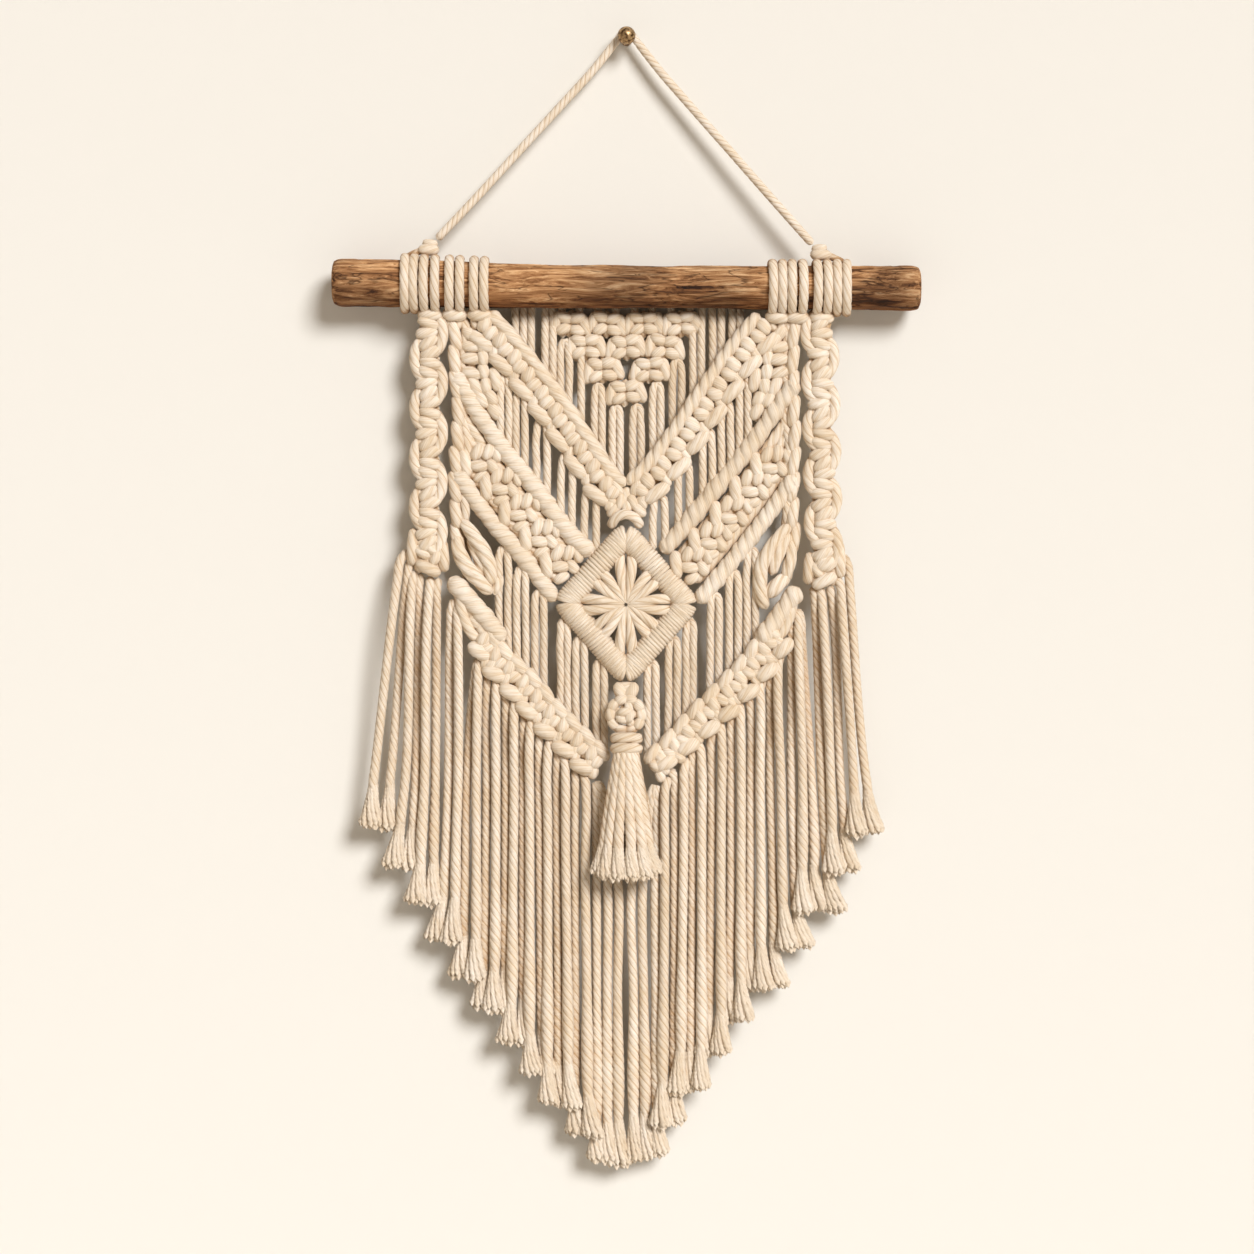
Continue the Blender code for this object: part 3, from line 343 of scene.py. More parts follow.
# The lowest band of each side and the thick cord that runs down to it
LOWER_BAND = {
    "left": ((-84.0, 337.0), (-76.8, 346.4), (-55.5, 367.7), (-46.0, 379.4), (-33.1, 392.3), (-15.5, 409.5)),
    "right": ((85.5, 333.5), (77.5, 346.8), (59.9, 367.0), (45.0, 381.5), (27.1, 400.6), (15.5, 411.5)),
}
LOWER_CORD = {
    "left": ((-99.0, 304.0), (-88.0, 316.0), (-76.0, 330.0), (-68.5, 339.5)),
    "right": ((96.6, 309.4), (89.0, 320.0), (81.0, 331.0), (74.0, 340.0)),
}
LOWER_SIDE_CORD = (
    # x, drop, how far in front of the band; mirrored on the right
    (-93.8, 310.0, -1.5), (-93.0, 317.0, 0.2), (-91.4, 325.0, 0.8), (-87.6, 333.6, 0.4), (-83.0, 339.5, -0.8),
)
LOWER_CORNER_TURNS = (
    # x, drop, angle, length; mirrored on the right
    (-87.4, 321.6, 62.0, 11.0), (-84.6, 328.4, 46.0, 10.0), (-80.6, 333.0, 62.0, 10.0),
    (-77.4, 338.8, 84.0, 9.0),
)
LOWER_BEADS = (
    # along the band, towards the rod, lean, length, radius
    (-2.6, 2.4, -14, 10.0, 3.6), (2.8, 0.6, 16, 9.0, 3.3), (0.2, -3.2, -6, 7.6, 2.9),
)

# Fringe: each tuft of frayed ends and the x of each strand that hangs down into it
BRAID_FRINGE = {
    # tuft x, tuft drop, strand xs
    "left": ((-139.0, 445.0, (-140.5, -131.5)), (-126.5, 467.5, (-124.0, -118.5)),
             (-114.0, 487.5, (-113.0, -107.2))),
    "right": ((133.5, 448.5, (126.8, 133.6)), (120.5, 470.0, (114.5, 120.3)), (117.6, 492.0, (109.5,))),
}
BAND_FRINGE = {
    # tuft x, tuft drop, strand xs
    "left": ((-103.0, 508.5, (-100.0, -94.5)), (-89.5, 529.5, (-89.5, -84.0)),
             (-75.5, 547.5, (-78.4, -73.0, -67.8)), (-62.5, 566.0, (-62.8, -58.0)),
             (-49.0, 583.5, (-54.0, -49.2)), (-37.0, 600.5, (-44.0, -39.2, -34.2)),
             (-23.5, 617.5, (-28.8, -22.8)), (-9.6, 633.0, (-17.0, -11.0, -5.4))),
    "right": ((103.0, 492.0, (98.4, 103.8)), (95.0, 512.5, (86.5, 92.2)), (81.0, 535.0, (75.0, 80.6)),
              (69.0, 536.0, (69.4,)), (60.5, 553.5, (58.6, 64.0)), (48.0, 572.0, (47.4, 53.2)),
              (34.5, 592.5, (32.0, 36.6, 42.0)), (23.0, 611.5, (21.6, 26.8)),
              (11.8, 630.0, (3.6, 9.4, 16.0))),
}
FRINGE_BEND_BELOW = 10.5
FRINGE_HANG_DROP = 420.0
FRINGE_OUTS = (15.0, 18.8)
FRINGE_TOP_OUT = 14.8
BEHIND_TASSEL = 17.5
BAND_FRINGE_START = 92.0
FRAY_LENGTH = 25.0
FRAY_PITCH = (0.0, 9.2, 6.9)
FRAY_R = (6.2, 5.9, 5.2)
FRAY_RINGS = (
    # how far out, how many yarns, how much lower they end
    (1.0, 10, -1.0),
    (0.62, 5, 1.0),
    (0.0, 1, 1.6),
)
FRAY_BELL = (
    # along the frayed end, how thick
    (-0.1, 0.34), (0.3, 0.5), (0.65, 0.76), (0.9, 1.0),
)
FRAY_YARN = (
    # along the frayed end, how far it has opened, how thick
    (-0.1, 0.0, 0.8), (0.15, 0.1, 1.0), (0.4, 0.3, 1.0), (0.72, 0.66, 1.05), (1.0, 1.0, 1.45),
)
YARN_R = 1.5

# The ball and its tassel
COLLAR = (-0.3, 367.4)
RING_MIDDLE = (-0.3, 380.4)
RING_R = 8.6
RING_OUT = 23.5
NECK_WRAPS = ((393.6, 26.2), (399.3, 27.2))
NECK_HALF_SIZE = (6.2, 5.0)
TASSEL_OUT = 29.5
SKIRT_STRANDS = 12
SKIRT_END = 468.5
SKIRT = (
    # how wide, drop, out, how far forward, how thick
    (4.2, 398.0, -1.0, 2.2, 0.86),
    (6.6, 414.0, 0.0, 3.6, 1.0),
    (10.2, 434.0, 0.0, 5.4, 1.0),
    (13.0, 453.0, 0.0, 6.2, 1.0),
    (14.0, 461.0, 0.0, 6.4, 0.7),
)

# Depths in front of the wall
BAND_OUT = 17.6
STRAND_OUT = 17.0
TUCK_OUT = 10.9
NET_OUT = 8.6

# The stage, the light and the camera
WALL_COLOR = (0.765, 0.738, 0.687)
FLOOR_COLOR = (0.82, 0.79, 0.74)
WALL_OUT = -0.5
WALL_TOP = -2200.0
FLOOR_DROP = 950.0
FLOOR_REACH = 4000.0
STAGE_HALF_WIDTH = 3000.0
SUN_PLACE = (640.0, -330.0, 1250.0)
SUN_TARGET = (0.0, 330.0, 15.0)
SUN_ANGLE = 23.0
SUN_STRENGTH = 3.3
SUN_COLOR = (0.985, 0.99, 1.0)
ROOM_COLOR = (1.0, 0.80, 0.58, 1.0)
ROOM_STRENGTH = 0.25
FRAME_MIDDLE = (0.3, 331.5)
FRAME_SIZE = 702.0
CAMERA_AWAY = 1900.0
CAMERA_SENSOR = 36.0


class Batch:
    """Meshes gathered into one piece, with the lay of the cord in a UV map and a tint for each cord."""

    def __init__(self, seed):
        self.places = []
        self.faces = []
        self.uvs = []
        self.tints = []
        self.softness = []
        self.count = 0
        self.random = np.random.default_rng(SEED + seed)

    def add(self, places, faces, uvs, tint, soft):
        self.places.append(places)
        self.faces.append(faces + self.count)
        self.uvs.append(uvs)
        self.tints.append(np.full(len(places), tint))
        self.softness.append(np.full(len(places), soft))
        self.count += len(places)

    def painted_shade_depth(self, places):
        """How deep each place lies between the front and the back of what is round it, from 0 to 1; this sets
        the painted shade among the cords.
        """
        cells = np.floor((places[:, :2] - places[:, :2].min(axis=0)) / RECESS_CELL).astype(int) + RECESS_REACH
        shape = cells.max(axis=0) + RECESS_REACH + 1
        buried = []
        for way in (1.0, -1.0):
            surface = np.full(shape, -1e3)
            np.maximum.at(surface, (cells[:, 0], cells[:, 1]), places[:, 2] * way)
            total, weight = np.zeros(shape), np.zeros(shape)
            for step_x in range(-RECESS_REACH, RECESS_REACH + 1):
                for step_drop in range(-RECESS_REACH, RECESS_REACH + 1):
                    moved = np.roll(surface, (step_x, step_drop), axis=(0, 1))
                    known = moved > -900.0
                    total += np.where(known, moved, 0.0)
                    weight += known
            mean = total / np.maximum(weight, 1)
            buried.append(mean[cells[:, 0], cells[:, 1]] - places[:, 2] * way)
        return np.clip(np.minimum(*buried) / RECESS_DEPTH, 0.0, 1.0)

    def piece(self, name):
        places = np.concatenate(self.places)
        faces = np.concatenate(self.faces)
        mesh = bpy.data.meshes.new(name)
        mesh.vertices.add(len(places))
        mesh.vertices.foreach_set("co", to_metres(places).ravel())
        mesh.loops.add(faces.size)
        mesh.loops.foreach_set("vertex_index", faces.ravel())
        mesh.polygons.add(len(faces))
        mesh.polygons.foreach_set("loop_start", np.arange(0, faces.size, 4))
        mesh.update(calc_edges=True)
        mesh.uv_layers.new(name="cord").data.foreach_set("uv", np.concatenate(self.uvs).ravel())
        softness = np.concatenate(self.softness)
        # The open yarns of a frayed end let light through, so they get less of the painted shade
        clear = np.where(softness > 0.45, 0.35, 1.0)
        values = {"tint": np.concatenate(self.tints), "soft": softness, "deep": self.painted_shade_depth(places) * clear}
        for layer, value in values.items():
            mesh.attributes.new(layer, "FLOAT", "POINT").data.foreach_set("value", value)
        mesh.validate()
        mesh.shade_smooth()
        return show(name, mesh)


def show(name, data):
    """Put a mesh, a light or a camera into the scene."""
    made = bpy.data.objects.new(name, data)
    bpy.context.scene.collection.objects.link(made)
    return made


def plain_piece(name, places, faces):
    """A smooth mesh of these places and faces, shown under this name."""
    mesh = bpy.data.meshes.new(name)
    mesh.from_pydata([tuple(place) for place in to_metres(places)], [], faces)
    mesh.validate()
    mesh.shade_smooth()
    return show(name, mesh)


def skin(rows, sides):
    """The faces between rows of places round an axis."""
    faces = []
    for row in range(rows - 1):
        for side in range(sides):
            here, beside = row * sides + side, row * sides + (side + 1) % sides
            faces.append((here, beside, beside + sides, here + sides))
    return faces


def to_metres(places):
    places = np.asarray(places, float)
    return np.stack([places[..., 0], -places[..., 2], -places[..., 1]], axis=-1) * MM


def smooth_path(route, step):
    """Evenly spaced places on a smooth curve through the route's own."""
    points = np.asarray(route, float)
    gaps = np.maximum(np.linalg.norm(np.diff(points[:, :3], axis=0), axis=1), 1e-6)[:, None]
    slopes = np.diff(points, axis=0) / gaps
    turns = (slopes[:-1] * gaps[1:] + slopes[1:] * gaps[:-1]) / (gaps[:-1] + gaps[1:])
    tangents = np.vstack([slopes[:1], turns, slopes[-1:]])
    t = np.linspace(0, 1, 24, endpoint=False)[:, None]
    pieces = []
    for start, end, gap, leave, arrive in zip(points, points[1:], gaps, tangents, tangents[1:]):
        leave, arrive = leave * gap, arrive * gap
        bend = (3 * (end - start) - 2 * leave - arrive) * t ** 2
        turn = (2 * (start - end) + leave + arrive) * t ** 3
        pieces.append(start + leave * t + bend + turn)
    fine = np.vstack([*pieces, points[-1:]])
    lengths = np.concatenate([[0.0], np.cumsum(np.linalg.norm(np.diff(fine[:, :3], axis=0), axis=1))])
    count = max(int(round(lengths[-1] / step)) + 1, 6)
    wanted = np.linspace(0, lengths[-1], count)
    return np.stack([np.interp(wanted, lengths, column) for column in fine.T], axis=1), wanted


def frames_along(centres):
    """Two directions across the path at each place, carried along it without turning."""
    tangents = np.gradient(centres, axis=0)
    tangents /= np.linalg.norm(tangents, axis=1)[:, None]
    start = np.array([0.0, 0.0, 1.0])
    if abs(tangents[0] @ start) > 0.9:
        start = np.array([1.0, 0.0, 0.0])
    normals = []
    normal = start
    for tangent in tangents:
        normal = normal - tangent * (normal @ tangent)
        normal = normal / np.linalg.norm(normal)
        normals.append(normal)
    normals = np.array(normals)
    return normals, np.cross(tangents, normals)


def cord(batch, route, radius=CORD_R, lay=1.0, pitch=PITCH, ends=(True, True), flat=1.0, groove=PLY_GROOVE,
         step=RING_STEP, sides=RING_SIDES, plies=PLIES, soft=0.0):
    """A laid cord along a route of (x, drop, out) or (x, drop, out, how thick) places."""
    rows = [(*place, 1.0) if len(place) == 3 else place for place in route]
    path, lengths = smooth_path(rows, step)
    centres, thickness = path[:, :3], path[:, 3] * radius
    total = lengths[-1]
    round_off = min(radius, total / 2)
    if ends[0]:
        near = np.clip(1 - lengths / round_off, 0, 1)
        thickness = thickness * np.sqrt(np.maximum(1 - near ** 2, 0.02))
    if ends[1]:
        near = np.clip(1 - (total - lengths) / round_off, 0, 1)
        thickness = thickness * np.sqrt(np.maximum(1 - near ** 2, 0.02))
    normals, binormals = frames_along(centres)
    phase = batch.random.uniform(0, math.tau)
    around = np.arange(sides) / sides * math.tau
    turn = around[None, :] + (phase + lay * math.tau * lengths / pitch)[:, None]
    lobes = np.abs(np.sin(around * plies / 2))
    bulge = 1 - groove * (1 - lobes) ** 1.5
    reach = thickness[:, None] * bulge[None, :]
    across = (np.cos(turn) * reach * flat)[..., None] * normals[:, None, :]
    beside = (np.sin(turn) * reach)[..., None] * binormals[:, None, :]
    rings = centres[:, None, :] + across + beside
    count = len(rings)
    index = np.arange(count * sides).reshape(count, sides)
    here, there = index[:-1], index[1:]
    faces = np.stack([here, np.roll(here, -1, axis=1), np.roll(there, -1, axis=1), there], axis=-1)
    faces = faces.reshape(-1, 4)
    u_step = plies / PLIES / sides
    u0 = np.broadcast_to(np.arange(sides) * u_step, (count - 1, sides))
    v0 = np.broadcast_to((lengths[:-1] / 10)[:, None], (count - 1, sides))
    v1 = np.broadcast_to((lengths[1:] / 10)[:, None], (count - 1, sides))
    uvs = np.stack([np.stack([u0, v0], -1), np.stack([u0 + u_step, v0], -1),
                    np.stack([u0 + u_step, v1], -1), np.stack([u0, v1], -1)], axis=2).reshape(-1, 2)
    places = rings.reshape(-1, 3)
    caps = []
    for ring, order in ((index[0], 1), (index[-1], -1)):
        for k in range(sides // 2 - 1):
            quad = (ring[k], ring[k + 1], ring[sides - 2 - k], ring[sides - 1 - k])
            caps.append(quad[::order])
    faces = np.vstack([faces, np.array(caps)])
    uvs = np.vstack([uvs, np.zeros((len(caps) * 4, 2))])
    batch.add(places, faces, uvs, batch.random.uniform(0.0, 1.0), soft)


def heading_of(angle):
    """The way that an angle in degrees points: along x and along the drop."""
    return math.cos(math.radians(angle)), math.sin(math.radians(angle))


def pillow(batch, x, drop, out, angle, length, radius, sink=2.0, swell=1.0, **how):
    """A short visible turn of cord: its two ends dive behind what lies beside them."""
    along_x, along_drop = heading_of(angle)
    route = []
    for t in (-1.0, -0.55, 0.0, 0.55, 1.0):
        reach = length / 2 * t
        thick = swell * (1.06 - 0.24 * t * t)
        route.append((x + along_x * reach, drop + along_drop * reach, out - sink * t * t, thick))
    how.setdefault("pitch", 34.0)
    how.setdefault("groove", 0.08)
    how.setdefault("soft", 0.3)
    cord(batch, route, radius, **how)


def tie(batch, x, drop, out, turns, way=1, **how):
    """The turns of a knot about its middle."""
    for step_x, step_drop, step_out, angle, lean, length, radius, sink in turns:
        pillow(batch, x + way * step_x, drop + step_drop, out + step_out, angle + way * lean, length, radius,
               sink=sink, **how)


def over_turn(batch, x, drop, angle, half_width, back, depth, radius, slant=0.0, **how):
    """One turn of a wrapping cord over a bar, from its one side across the front to the other."""
    across_x, across_drop = heading_of(angle)
    along_x, along_drop = -across_drop, across_x
    route = []
    for t in (-1.0, -0.72, -0.4, 0.0, 0.4, 0.72, 1.0):
        turn = math.pi / 2 * t
        side = half_width * math.sin(turn)
        shift = slant * t
        route.append((x + across_x * side + along_x * shift,
                      drop + across_drop * side + along_drop * shift,
                      back + depth * math.cos(turn)))
    how.setdefault("pitch", 40.0)
    how.setdefault("soft", 0.2)
    cord(batch, route, radius, **how)


def drop_on(path, x):
    ordered = sorted(path)
    return float(np.interp(x, [place[0] for place in ordered], [place[1] for place in ordered]))


def way_of(side):
    """What a place or a lean on this side is multiplied by to mirror it."""
    return 1 if side == "left" else -1


def side_of(x):
    return "left" if x < 0 else "right"


def rod_at(x):
    xs = [station[0] for station in ROD_STATIONS]
    drop = float(np.interp(x, xs, [station[1] for station in ROD_STATIONS]))
    return drop, float(np.interp(x, xs, [station[2] for station in ROD_STATIONS]))


def along_bar(path, pitch):
    """Places at one pitch along a bar, each with the bar's heading in degrees, for x to the right."""
    places, lengths = smooth_path([(x, drop, 0.0) for x, drop in path], 0.5)
    total = lengths[-1]
    count = max(int(round(total / pitch)), 1)
    found = []
    for number in range(count):
        wanted = (number + 0.5) * total / count
        index = int(np.searchsorted(lengths, wanted))
        index = min(max(index, 4), len(places) - 5)
        ahead = places[index + 4] - places[index - 4]
        found.append((places[index][0], places[index][1], math.degrees(math.atan2(ahead[1], ahead[0]))))
    return found


def beside_bar(x, drop, heading, offset, along=0.0):
    """A place beside the bar and along it: a positive offset is towards the rod."""
    along_x, along_drop = heading_of(heading)
    normal_x, normal_drop = along_drop, -along_x
    if normal_drop > 0:
        normal_x, normal_drop = -normal_x, -normal_drop
    return x + normal_x * offset + along_x * along, drop + normal_drop * offset + along_drop * along


def rope_bar(batch, path, radius, out, mark_pitch, offset=0.0, lift=0.0, groove=0.13, soft=0.42):
    """A thick laid bar, a little uneven along its length; mark_pitch is between the marks of its plies."""
    random = batch.random
    headings = along_bar(path, 5.0)
    first, last = headings[0], headings[-1]
    places = [(*path[0], first[2]), *headings, (*path[-1], last[2])]
    route = []
    for number, (x, drop, heading) in enumerate(places):
        moved_x, moved_drop = beside_bar(x, drop, heading, offset)
        raised = out + lift * math.exp(-number / 2.0) + random.uniform(-0.25, 0.25)
        route.append((moved_x, moved_drop, raised, 1.0 + random.uniform(-0.09, 0.09)))
    cord(batch, route, radius, pitch=mark_pitch * 3, groove=groove, step=1.4, sides=24, plies=3, soft=soft)


def rod_wrap(batch, x, radius=WRAP_R):
    """One turn of cord round the rod."""
    drop, rod_radius = rod_at(x)
    reach = rod_radius + WRAP_CLEAR
    route = []
    lean = batch.random.uniform(-0.5, 0.5)
    for step in range(25):
        angle = math.tau * step / 24 + math.pi
        route.append((x + lean * math.cos(angle), drop - reach * math.sin(angle),
                      ROD_OUT + reach * math.cos(angle)))
    cord(batch, route, radius, pitch=30.0, ends=(False, False), flat=0.86, groove=0.1)


def hitch(batch, turns):
    """A lark's head: two turns round the rod, and the bar below that joins them."""
    for x in turns:
        rod_wrap(batch, x)
    middle = sum(turns) / 2
    drop, radius = rod_at(middle)
    bar_drop = drop + radius + 4.3
    pillow(batch, middle, bar_drop, ROD_OUT + 2.6, 3.0, 13.4, 3.8, sink=2.6, pitch=30.0)
    pillow(batch, middle - 2.6, bar_drop + 4.6, ROD_OUT - 0.6, 70.0, 8.0, 2.5, sink=1.5)
    pillow(batch, middle + 2.6, bar_drop + 4.6, ROD_OUT - 0.6, 110.0, 8.0, 2.5, sink=1.5)


def square_knot(batch, x, drop, out, width, height, radius=2.9, lean=0.0):
    """Two side cords that lean in, and two rungs of two turns each across the front."""
    random = batch.random
    across, along = width / 21.0, height / 14.6

    def turn_of(step_x, step_drop, step_out, angle, length, thick, sink):
        nudge = random.uniform(-1, 1, 3)
        pillow(batch, x + step_x * across + nudge[0] * 0.3,
               drop + (step_drop + lean * step_x) * along + nudge[1] * 0.3,
               out + step_out, angle + nudge[2] * 6, length, radius * thick, sink=sink)

    for core_x in (-5.0, 0.0, 5.0):
        turn_of(core_x, 0.0, -2.2, 90, height * 1.1, 1.0, 0.4)
    for way in (-1, 1):
        turn_of(way * 8.3, 0.2, 0.3, 90 - way * 17, 13.4 * along, 1.0, 2.6)
        turn_of(way * 3.7, -3.5, 1.3, way * -14 + 4, 9.4 * across, 1.04, 1.9)
        turn_of(way * 3.9, 3.3, 1.1, way * 20 - 4, 9.0 * across, 1.0, 1.9)


def woven_knot(batch, x, drop, out):
    """One unit of the knotting between two bars: a tall upright cord, and the turns that lock round it."""
    for step_x, step_drop, step_out, angle, length, radius, sink in WOVEN_TURNS:
        nudge = batch.random.uniform(-1, 1, 3)
        pillow(batch, x + (step_x - 1.3) * 1.16 + nudge[0] * 0.35,
               drop + 1.6 + step_drop * 1.08 + nudge[1] * 0.35,
               out + step_out, angle + nudge[2] * 7, length * 1.08, radius * 1.06, sink=sink)


def fill_between(batch, upper, lower, out):
    """Cords that lie behind the knotting between two bars."""
    for share in (0.28, 0.44, 0.6, 0.75):
        route = []
        for t in (0.06, 0.25, 0.5, 0.75, 0.94):
            upper_place = place_along(upper, t)
            lower_place = place_along(lower, t)
            route.append((upper_place[0] + (lower_place[0] - upper_place[0]) * share,
                          upper_place[1] + (lower_place[1] - upper_place[1]) * share, out))
        cord(batch, route, 3.4, pitch=26.0, soft=0.2)


def place_along(path, t):
    places, lengths = smooth_path([(x, drop, 0.0) for x, drop in path], 0.5)
    index = int(np.searchsorted(lengths, lengths[-1] * t))
    return places[min(index, len(places) - 1)]


def hanging_strand(batch, route, radius=INNER_CORD_R, **how):
    """A free cord, laid as the rest, that wanders a little."""
    wandered = []
    for number, place in enumerate(route):
        shift = batch.random.uniform(-0.25, 0.25, 3) if 0 < number < len(route) - 1 else np.zeros(3)
        wandered.append(tuple(np.array(place[:3]) + shift) + tuple(place[3:]))
    how.setdefault("step", 1.9)
    cord(batch, wandered, radius, **how)


def frayed_end(batch, start, end, spread):
    """The end of a cord combed out: a ridged bell, and yarns with blunt tips that open round it."""
    random = batch.random
    start_x, start_drop, start_out = start
    end_x, end_drop, end_out = end
    turn_on = random.uniform(0, math.tau)
    bell = []
    for t, thick in FRAY_BELL:
        bell.append((start_x + (end_x - start_x) * t, start_drop + (end_drop - start_drop) * t,
                     start_out + (end_out - start_out) * t, thick))
    cord(batch, bell, spread * 0.86, pitch=60.0, groove=0.22, step=2.3, sides=20, plies=5, soft=0.5, flat=0.8)
    for ring_reach, count, more in FRAY_RINGS:
        for number in range(count):
            angle = turn_on + math.tau * (number + random.uniform(-0.2, 0.2)) / count
            route = []
            for t, opened, thick in FRAY_YARN:
                twist = angle - 1.2 * t
                reach = (1.5 + (spread - 1.5) * opened) * ring_reach
                drop = start_drop + (end_drop + more * t - start_drop) * t + random.uniform(-0.9, 0.9) * t
                route.append((start_x + (end_x - start_x) * t + math.cos(twist) * reach, drop,
                              start_out + (end_out - start_out) * t + math.sin(twist) * reach * 0.8, thick))
            cord(batch, route, YARN_R, pitch=16.0, ends=(False, True), groove=0.16, step=2.3,
                 sides=9, plies=3, soft=0.5)


def fringe(batch, tufts, tops):
    """Free strands in two layers, from tops of (shared x, own x, drop) down to each tuft's frayed ends."""
    inward = sorted((x for tuft in tufts for x in tuft[2]), key=abs)
    number = 0
    for tuft_x, tuft_drop, strand_xs in tufts:
        count = len(strand_xs)
        for place, hang_x in enumerate(strand_xs):
            out = FRINGE_OUTS[0 if abs(hang_x) < BEHIND_TASSEL else inward.index(hang_x) % 2]
            shared_x, root_x, bend_drop = tops[number]
            number += 1
            end_x = tuft_x + (place - (count - 1) / 2) * FRAY_PITCH[count - 1]
            fray_drop = tuft_drop - FRAY_LENGTH
            hang_drop = max(min(FRINGE_HANG_DROP, fray_drop - 12.0), bend_drop + 50.0)
            fray_x = hang_x + (end_x - hang_x) * 0.35
            route = [(shared_x + (root_x - shared_x) * 0.15, bend_drop - 0.6, 13.8)]
            for below, parted in ((1.6, 0.55), (5.5, 0.95), (13.0, 1.0)):
                along = below / (hang_drop - bend_drop)
                strand_x = root_x + (hang_x - root_x) * (0.25 + 0.75 * along)
                route.append((shared_x + (strand_x - shared_x) * parted, bend_drop + below,
                              FRINGE_TOP_OUT + (out - FRINGE_TOP_OUT) * min(below / 10.0, 1.0)))
            route.append((hang_x, hang_drop, out))
            if fray_drop - hang_drop > 60.0:
                route.append(((hang_x + fray_x) / 2, (hang_drop + fray_drop) / 2, out))
            route.append((fray_x, fray_drop, out, 1.02))
            route.append((fray_x, fray_drop + 9.0, out, 0.7))
            hanging_strand(batch, route, CORD_R)
            outward = 1.6 * (place - (count - 1) / 2) * (1 if tuft_x < 0 else -1)
            frayed_end(batch, (fray_x, fray_drop, out), (end_x, tuft_drop - 0.6 + outward, out),
                       FRAY_R[count - 1])


def band_tops(side):
    """Where the strands come out under the lowest band, those of one tuft from a shared bend."""
    tops = []
    for tuft in BAND_FRINGE[side]:
        roots = [fringe_root(side, x) for x in tuft[2]]
        shared_x = sum(x for x, drop in roots) / len(roots)
        tops.extend((shared_x, x, drop + FRINGE_BEND_BELOW) for x, drop in roots)
    return tops


def fringe_root(side, x):
    path = LOWER_CORD[side] if abs(x) > BAND_FRINGE_START else LOWER_BAND[side]
    places = sorted(place for place, drop in path)
    root_x = min(max(x, places[0] + 1.5), places[-1] - 1.5)
    return root_x, drop_on(path, root_x)


def spiral_braid(batch, side):
    """Rungs of cord with a long bulging cord, first on one side and then on the other."""
    top_x, top_drop, end_x, end_drop, half_turns, first_way = BRAIDS[side]
    half = (end_drop - top_drop) / half_turns

    def middle_at(drop):
        t = (drop - top_drop) / (end_drop - top_drop)
        return top_x + (end_x - top_x) * t

    def sway_at(drop):
        return first_way * math.sin(math.pi * (drop - top_drop) / half)

    rungs = int((end_drop - top_drop) / BRAID_RUNG_PITCH) - 1
    for number in range(rungs):
        drop = top_drop + 1.5 + number * BRAID_RUNG_PITCH
        sway = sway_at(drop)
        tilt = 34.0 * math.cos(math.pi * (drop - top_drop) / half) * first_way - 7.0
        pillow(batch, middle_at(drop) - sway * 1.2, drop, ROD_OUT + 2.9, tilt, 12.4, 3.25, sink=2.4)
        pillow(batch, middle_at(drop), drop + 2.8, ROD_OUT - 2.4, 0.0, 12.0, 3.3, sink=0.6)
    for number in range(half_turns - 1):
        middle = top_drop + (number + 0.5) * half
        way = first_way * (1 if number % 2 == 0 else -1)
        x = middle_at(middle)
        route = []
        for t, away, forward, thick in BRAID_BULGE:
            route.append((x + way * away, middle + t * half * 0.98, ROD_OUT + forward, thick))
        cord(batch, route, 2.95, pitch=28.0, groove=0.1, soft=0.08)


def end_knot(batch, x, drop, way):
    """The last turns of a braid: a loop at each side, crossed cords and the turn that closes them."""
    tie(batch, x, drop, ROD_OUT, END_KNOT_LOOPS, way, soft=0.08)
    tie(batch, x, drop, ROD_OUT, END_KNOT_TURNS, way)


def make_side_braid(side):
    batch = Batch(1 if side == "left" else 2)
    hitch(batch, BRAID_HITCHES[side])
    spiral_braid(batch, side)
    end_x, end_drop = BRAIDS[side][2:4]
    end_knot(batch, end_x, end_drop, way_of(side))
    fringe(batch, BRAID_FRINGE[side], [(x, x, drop) for x, drop in BRAID_TOPS[side]])
    return batch.piece("side_braid_cords_" + side)


def make_hanger_hitch(side):
    batch = Batch(3 if side == "left" else 4)
    for x in HANGER_HITCHES[side]:
        rod_wrap(batch, x)
    knot_x, knot_drop = HANGER_KNOTS[side]
    way = -way_of(side)
    pillow(batch, knot_x + way * 0.8, knot_drop + 1.9, ROD_OUT + 0.8, 2.0, 12.0, 3.1, sink=1.6, pitch=30.0)
    pillow(batch, knot_x, knot_drop - 1.9, ROD_OUT, -5.0 * way, 8.6, 2.3, sink=1.8, pitch=24.0)
    pillow(batch, knot_x, knot_drop + 0.6, ROD_OUT - 2.2, 0.0, 10.0, 2.3, sink=-1.0)
    turn_x = HANGER_HITCHES[side][0 if side == "left" else 1]
    drop, radius = rod_at(turn_x)
    cord(batch, [(turn_x, drop - radius - 1.6, ROD_OUT - 3.0),
                 (turn_x - way * 3.0, drop - radius - 2.9, ROD_OUT - 1.5),
                 (knot_x + way * 3.0, knot_drop + 1.0, ROD_OUT - 1.0)], 2.1)
    return batch.piece("hanger_hitch_cords_" + side)


def make_hanger_cord():
    """The hanging cord, pressed a little where it bends over the peg."""
    batch = Batch(5)
    route = [(x, drop, out, 1 - HANGER_PRESSED / HANGER_R * math.exp(-(x / HANGER_BEND) ** 2))
             for x, drop, out in HANGER_ROUTE]
    cord(batch, route, HANGER_R, pitch=17.0, step=1.0)
    piece = batch.piece("hanger_cord_rope")
    return piece


def caught_drop(x):
    """Where a strand of the inner net goes in behind the upper band."""
    return drop_on(UPPER_BAND[side_of(x)], x) - 3.0


